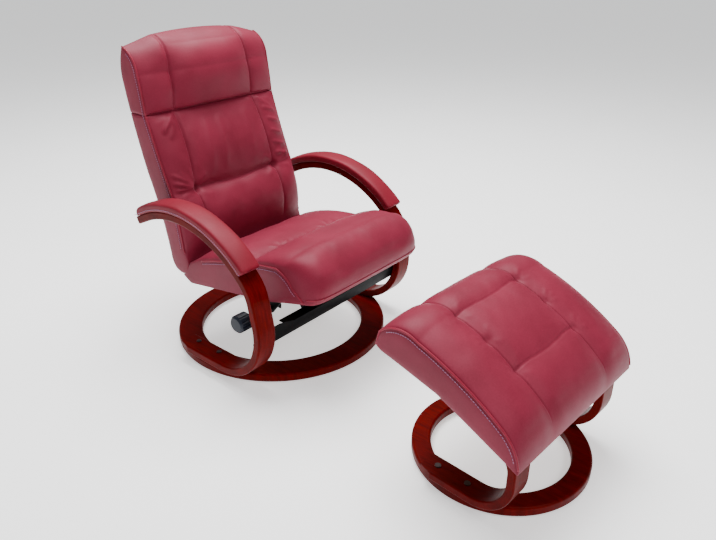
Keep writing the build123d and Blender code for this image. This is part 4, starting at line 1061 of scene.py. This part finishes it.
def make_leather_group():
    """Fine faux leather grain: pebbles, pores and slow changes of tone."""
    group, vector, end = new_group("leather_grain", ("Height", "Tone", "Wear"))
    pebble = group.nodes.new("ShaderNodeTexVoronoi")
    pebble.feature = "SMOOTH_F1"
    pebble.inputs["Scale"].default_value = 620
    pebble.inputs["Smoothness"].default_value = 0.6
    link(group, vector, pebble.inputs["Vector"])
    lines = noise(group, vector, 240, 4, 0.65)
    fine = math_node(group, "MULTIPLY", noise(group, vector, 1500, 2), 0.25)
    height = scaled(group, lines, 0.35, scaled(group, pebble.outputs["Distance"], 0.7, fine))
    link(group, height, end.inputs["Height"])
    tone = scaled(group, lines, 0.4, math_node(group, "MULTIPLY", noise(group, vector, 9, 4), 0.6))
    link(group, tone, end.inputs["Tone"])
    link(group, noise(group, vector, 34, 5, 0.6), end.inputs["Wear"])
    return group


def make_wood_group():
    """Stained wood: long streaks of grain along one axis, pores and uneven stain."""
    group, vector, end = new_group("wood_grain", ("Grain", "Pores", "Stain"))
    stretch = group.nodes.new("ShaderNodeMapping")
    stretch.inputs["Scale"].default_value = (9, 1, 1)
    link(group, vector, stretch.inputs["Vector"])
    link(group, noise(group, stretch.outputs["Vector"], 14, 6, 0.62), end.inputs["Grain"])
    link(group, noise(group, stretch.outputs["Vector"], 130, 3, 0.7), end.inputs["Pores"])
    link(group, noise(group, vector, 5), end.inputs["Stain"])
    return group


def new_material(name):
    """A material; gives it, its tree, its shader and the place on the object."""
    material = bpy.data.materials.new(name)
    material.use_nodes = True
    tree = material.node_tree
    shader = tree.nodes["Principled BSDF"]
    place = tree.nodes.new("ShaderNodeTexCoord").outputs["Object"]
    return material, tree, shader, place


def use_group(tree, group, vector):
    node = tree.nodes.new("ShaderNodeGroup")
    node.node_tree = group
    link(tree, vector, node.inputs["Vector"])
    return node


def set_inputs(shader, **values):
    """Plain values on the shader's inputs; Coat_Weight stands for Coat Weight."""
    for name, value in values.items():
        shader.inputs[name.replace("_", " ")].default_value = value


def add_bump(tree, shader, height, strength, distance):
    node = tree.nodes.new("ShaderNodeBump")
    node.inputs["Strength"].default_value = strength
    node.inputs["Distance"].default_value = distance
    link(tree, height, node.inputs["Height"])
    link(tree, node.outputs["Normal"], shader.inputs["Normal"])


LEATHER_GRAIN = make_leather_group()
WOOD_GRAIN = make_wood_group()


def leather(name, dark, light, roughness=(0.46, 0.62)):
    material, tree, shader, place = new_material(name)
    grain = use_group(tree, LEATHER_GRAIN, place)
    color = ramp(tree, grain.outputs["Tone"], [(0.3, dark), (0.72, light)])
    link(tree, color, shader.inputs["Base Color"])
    low, high = roughness
    link(tree, scaled(tree, grain.outputs["Wear"], high - low, low), shader.inputs["Roughness"])
    set_inputs(
        shader, Specular_IOR_Level=0.24, Specular_Tint=(1.0, 0.55, 0.65, 1), Coat_Weight=0.03,
        Coat_Roughness=0.4, Sheen_Weight=0.04, Sheen_Roughness=0.4, Sheen_Tint=(1.0, 0.5, 0.65, 1),
    )
    add_bump(tree, shader, grain.outputs["Height"], 0.28, 0.0004)
    return material


def wood(name, dark, middle, light, coat):
    material, tree, shader, place = new_material(name)
    grain = use_group(tree, WOOD_GRAIN, place)
    stain = math_node(tree, "MULTIPLY", grain.outputs["Stain"], 0.25)
    streaks = scaled(tree, grain.outputs["Grain"], 0.75, stain)
    color = ramp(tree, streaks, [(0.32, dark), (0.52, middle), (0.74, light)])
    pores = ramp(tree, grain.outputs["Pores"], [(0.36, (0.6, 0.5, 0.5)), (0.5, (1, 1, 1))])
    link(tree, multiply(tree, 0.5, color, pores), shader.inputs["Base Color"])
    link(tree, scaled(tree, grain.outputs["Pores"], 0.14, 0.32), shader.inputs["Roughness"])
    set_inputs(
        shader, Specular_IOR_Level=0.05, Specular_Tint=(1.0, 0.35, 0.3, 1), Coat_Weight=coat,
        Coat_Roughness=0.15,
    )
    add_bump(tree, shader, grain.outputs["Pores"], 0.12, 0.0003)
    return material


def plain(name, color, roughness, metallic, scale, strength, specular=0.5):
    """An even material with specks of a scale; strength is that of their bumps."""
    spread = 0.25
    material, tree, shader, place = new_material(name)
    speck = noise(tree, place, scale, 4, 0.6)
    low = tuple(c * (1 - spread) for c in color)
    high = tuple(min(1, c * (1 + spread)) for c in color)
    link(tree, ramp(tree, speck, [(0.3, low), (0.7, high)]), shader.inputs["Base Color"])
    rough = scaled(tree, noise(tree, place, scale / 6), 0.18, roughness - 0.09)
    link(tree, rough, shader.inputs["Roughness"])
    set_inputs(shader, Metallic=metallic, Specular_IOR_Level=specular)
    add_bump(tree, shader, speck, strength, 0.0003)
    return material


BURGUNDY = leather("burgundy_leather", (0.14, 0.008, 0.021), (0.215, 0.016, 0.038))
# The welts use the same leather made lighter: a painted highlight along the round cords
WELT_HIGHLIGHT_LEATHER = leather("welt_leather_painted_highlight", (0.18, 0.009, 0.022), (0.28, 0.02, 0.045), (0.4, 0.5))
PAD = leather("pad_leather", (0.13, 0.0035, 0.01), (0.2, 0.007, 0.02))
THREAD = plain("stitch_thread", (0.34, 0.16, 0.28), 0.5, 0.0, 900, 0.1)
MAHOGANY = wood("mahogany", (0.055, 0.0006, 0.0005), (0.1, 0.0012, 0.001), (0.155, 0.0022, 0.0016), 0.02)
PLYWOOD = wood("plywood", (0.2, 0.12, 0.06), (0.36, 0.23, 0.13), (0.5, 0.35, 0.2), 0.1)
BLACK = plain("black_paint", (0.002, 0.002, 0.0025), 0.45, 0.0, 500, 0.12, 0.06)
ZINC = plain("zinc", (0.55, 0.55, 0.57), 0.34, 1.0, 400, 0.1)
DARK_BOLT = plain("dark_bolt", (0.045, 0.03, 0.03), 0.4, 0.6, 400, 0.1)
KNOB = plain("knob_plastic", (0.01, 0.013, 0.022), 0.45, 0.0, 600, 0.12, 0.2)
GLIDE = plain("glide_plastic", (0.55, 0.55, 0.53), 0.5, 0.0, 500, 0.1)
NYLON = plain("bush_nylon", (0.6, 0.6, 0.58), 0.5, 0.0, 500, 0.1)

SLOTS = {
    "stained_wood": MAHOGANY, "plain_wood": PLYWOOD, "black_steel": BLACK, "zinc_steel": ZINC,
    "knob_plastic": KNOB, "bush_plastic": NYLON, "glide_plastic": GLIDE, "upholstery": BURGUNDY,
}


def paint(obj, material):
    obj.data.materials.clear()
    obj.data.materials.append(material)


for entry in frame["record"]["subparts"]:
    paint(nodes[entry["node"]], SLOTS[entry["material_slot"]])
for name in ("arm_foot_bolts", "stool_foot_bolts"):
    paint(nodes[name], DARK_BOLT)


def dress(obj, body, material, replaced=()):
    """Paints a piece, sets it on its body and hides the solids it stands for."""
    paint(obj, material)
    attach(obj, body)
    if replaced:
        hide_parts(*replaced)


dress(seat_leather, "base", BURGUNDY, ["seat_cushion"])
dress(back_leather, "back", BURGUNDY, ["back_cushion", "back_rear_cover"])
dress(headrest_leather, "back", BURGUNDY, ["headrest_pillow"])
dress(stool_leather, "footstool", BURGUNDY, ["stool_cushion"])
for side, piece in arm_pad_pieces.items():
    dress(piece, "base", PAD, [f"arm_pad_{side}"])
dress(seat_welts, "base", WELT_HIGHLIGHT_LEATHER)
dress(back_welts, "back", WELT_HIGHLIGHT_LEATHER)
dress(stool_welts, "footstool", WELT_HIGHLIGHT_LEATHER)
dress(stitched("seat_stitches", rows["seat"], THREAD), "base", THREAD)
dress(stitched("back_stitches", rows["back"] + rows["pillow"], THREAD), "back", THREAD)
dress(stitched("stool_stitches", rows["stool"], THREAD), "footstool", THREAD)

# Camera at the photograph's place
camera_data = bpy.data.cameras.new("camera")
camera = new_object("camera", camera_data)
scene.camera = camera
camera_data.sensor_width = 36
camera_data.lens = 33.72
camera.location = Vector(CHAIR) + Vector((-1.408, -1.514, 1.220))
camera.rotation_euler = Euler((math.radians(63.87), 0, math.radians(-50.30)))

# Floor, light and surroundings
FLOOR = 60
corners = [(-FLOOR, -FLOOR, 0), (FLOOR, -FLOOR, 0), (FLOOR, FLOOR, 0), (-FLOOR, FLOOR, 0)]
floor = mesh_object("floor", corners, [(0, 1, 2, 3)], smooth=False)
floor_material, floor_tree, floor_shader, floor_place = new_material("floor")
floor_stops = [(0.3, (0.88, 0.88, 0.88)), (0.7, (0.9, 0.9, 0.9))]
floor_color = ramp(floor_tree, noise(floor_tree, floor_place, 3), floor_stops)
link(floor_tree, floor_color, floor_shader.inputs["Base Color"])
set_inputs(floor_shader, Roughness=0.9, Emission_Color=(1, 1, 1, 1), Emission_Strength=0.75)
paint(floor, floor_material)

world = bpy.data.worlds.new("studio")
scene.world = world
world.use_nodes = True
set_inputs(world.node_tree.nodes["Background"], Color=(0.95, 0.97, 1.0, 1), Strength=0.25)


def area_light(name, place, target, size, power, color=(1, 1, 1)):
    """A soft light of a size and power at a place, turned to a target."""
    data = bpy.data.lights.new(name, "AREA")
    data.shape = "RECTANGLE"
    data.size, data.size_y = size
    data.energy = power
    data.color = color
    light = new_object(name, data)
    light.location = place
    light.rotation_euler = (Vector(target) - Vector(place)).to_track_quat("-Z", "Y").to_euler()


area_light("key", (-0.6, -3.2, 3.4), (0, 0, 0.4), (2.4, 1.6), 76, (1, 0.98, 0.97))
area_light("fill", (-3.4, 0.6, 2.0), (0, 0.1, 0.5), (2.2, 2.0), 3, (0.95, 0.97, 1))
area_light("top", (0.6, 0.8, 3.6), (0, 0.2, 0.3), (2.6, 2.6), 320)
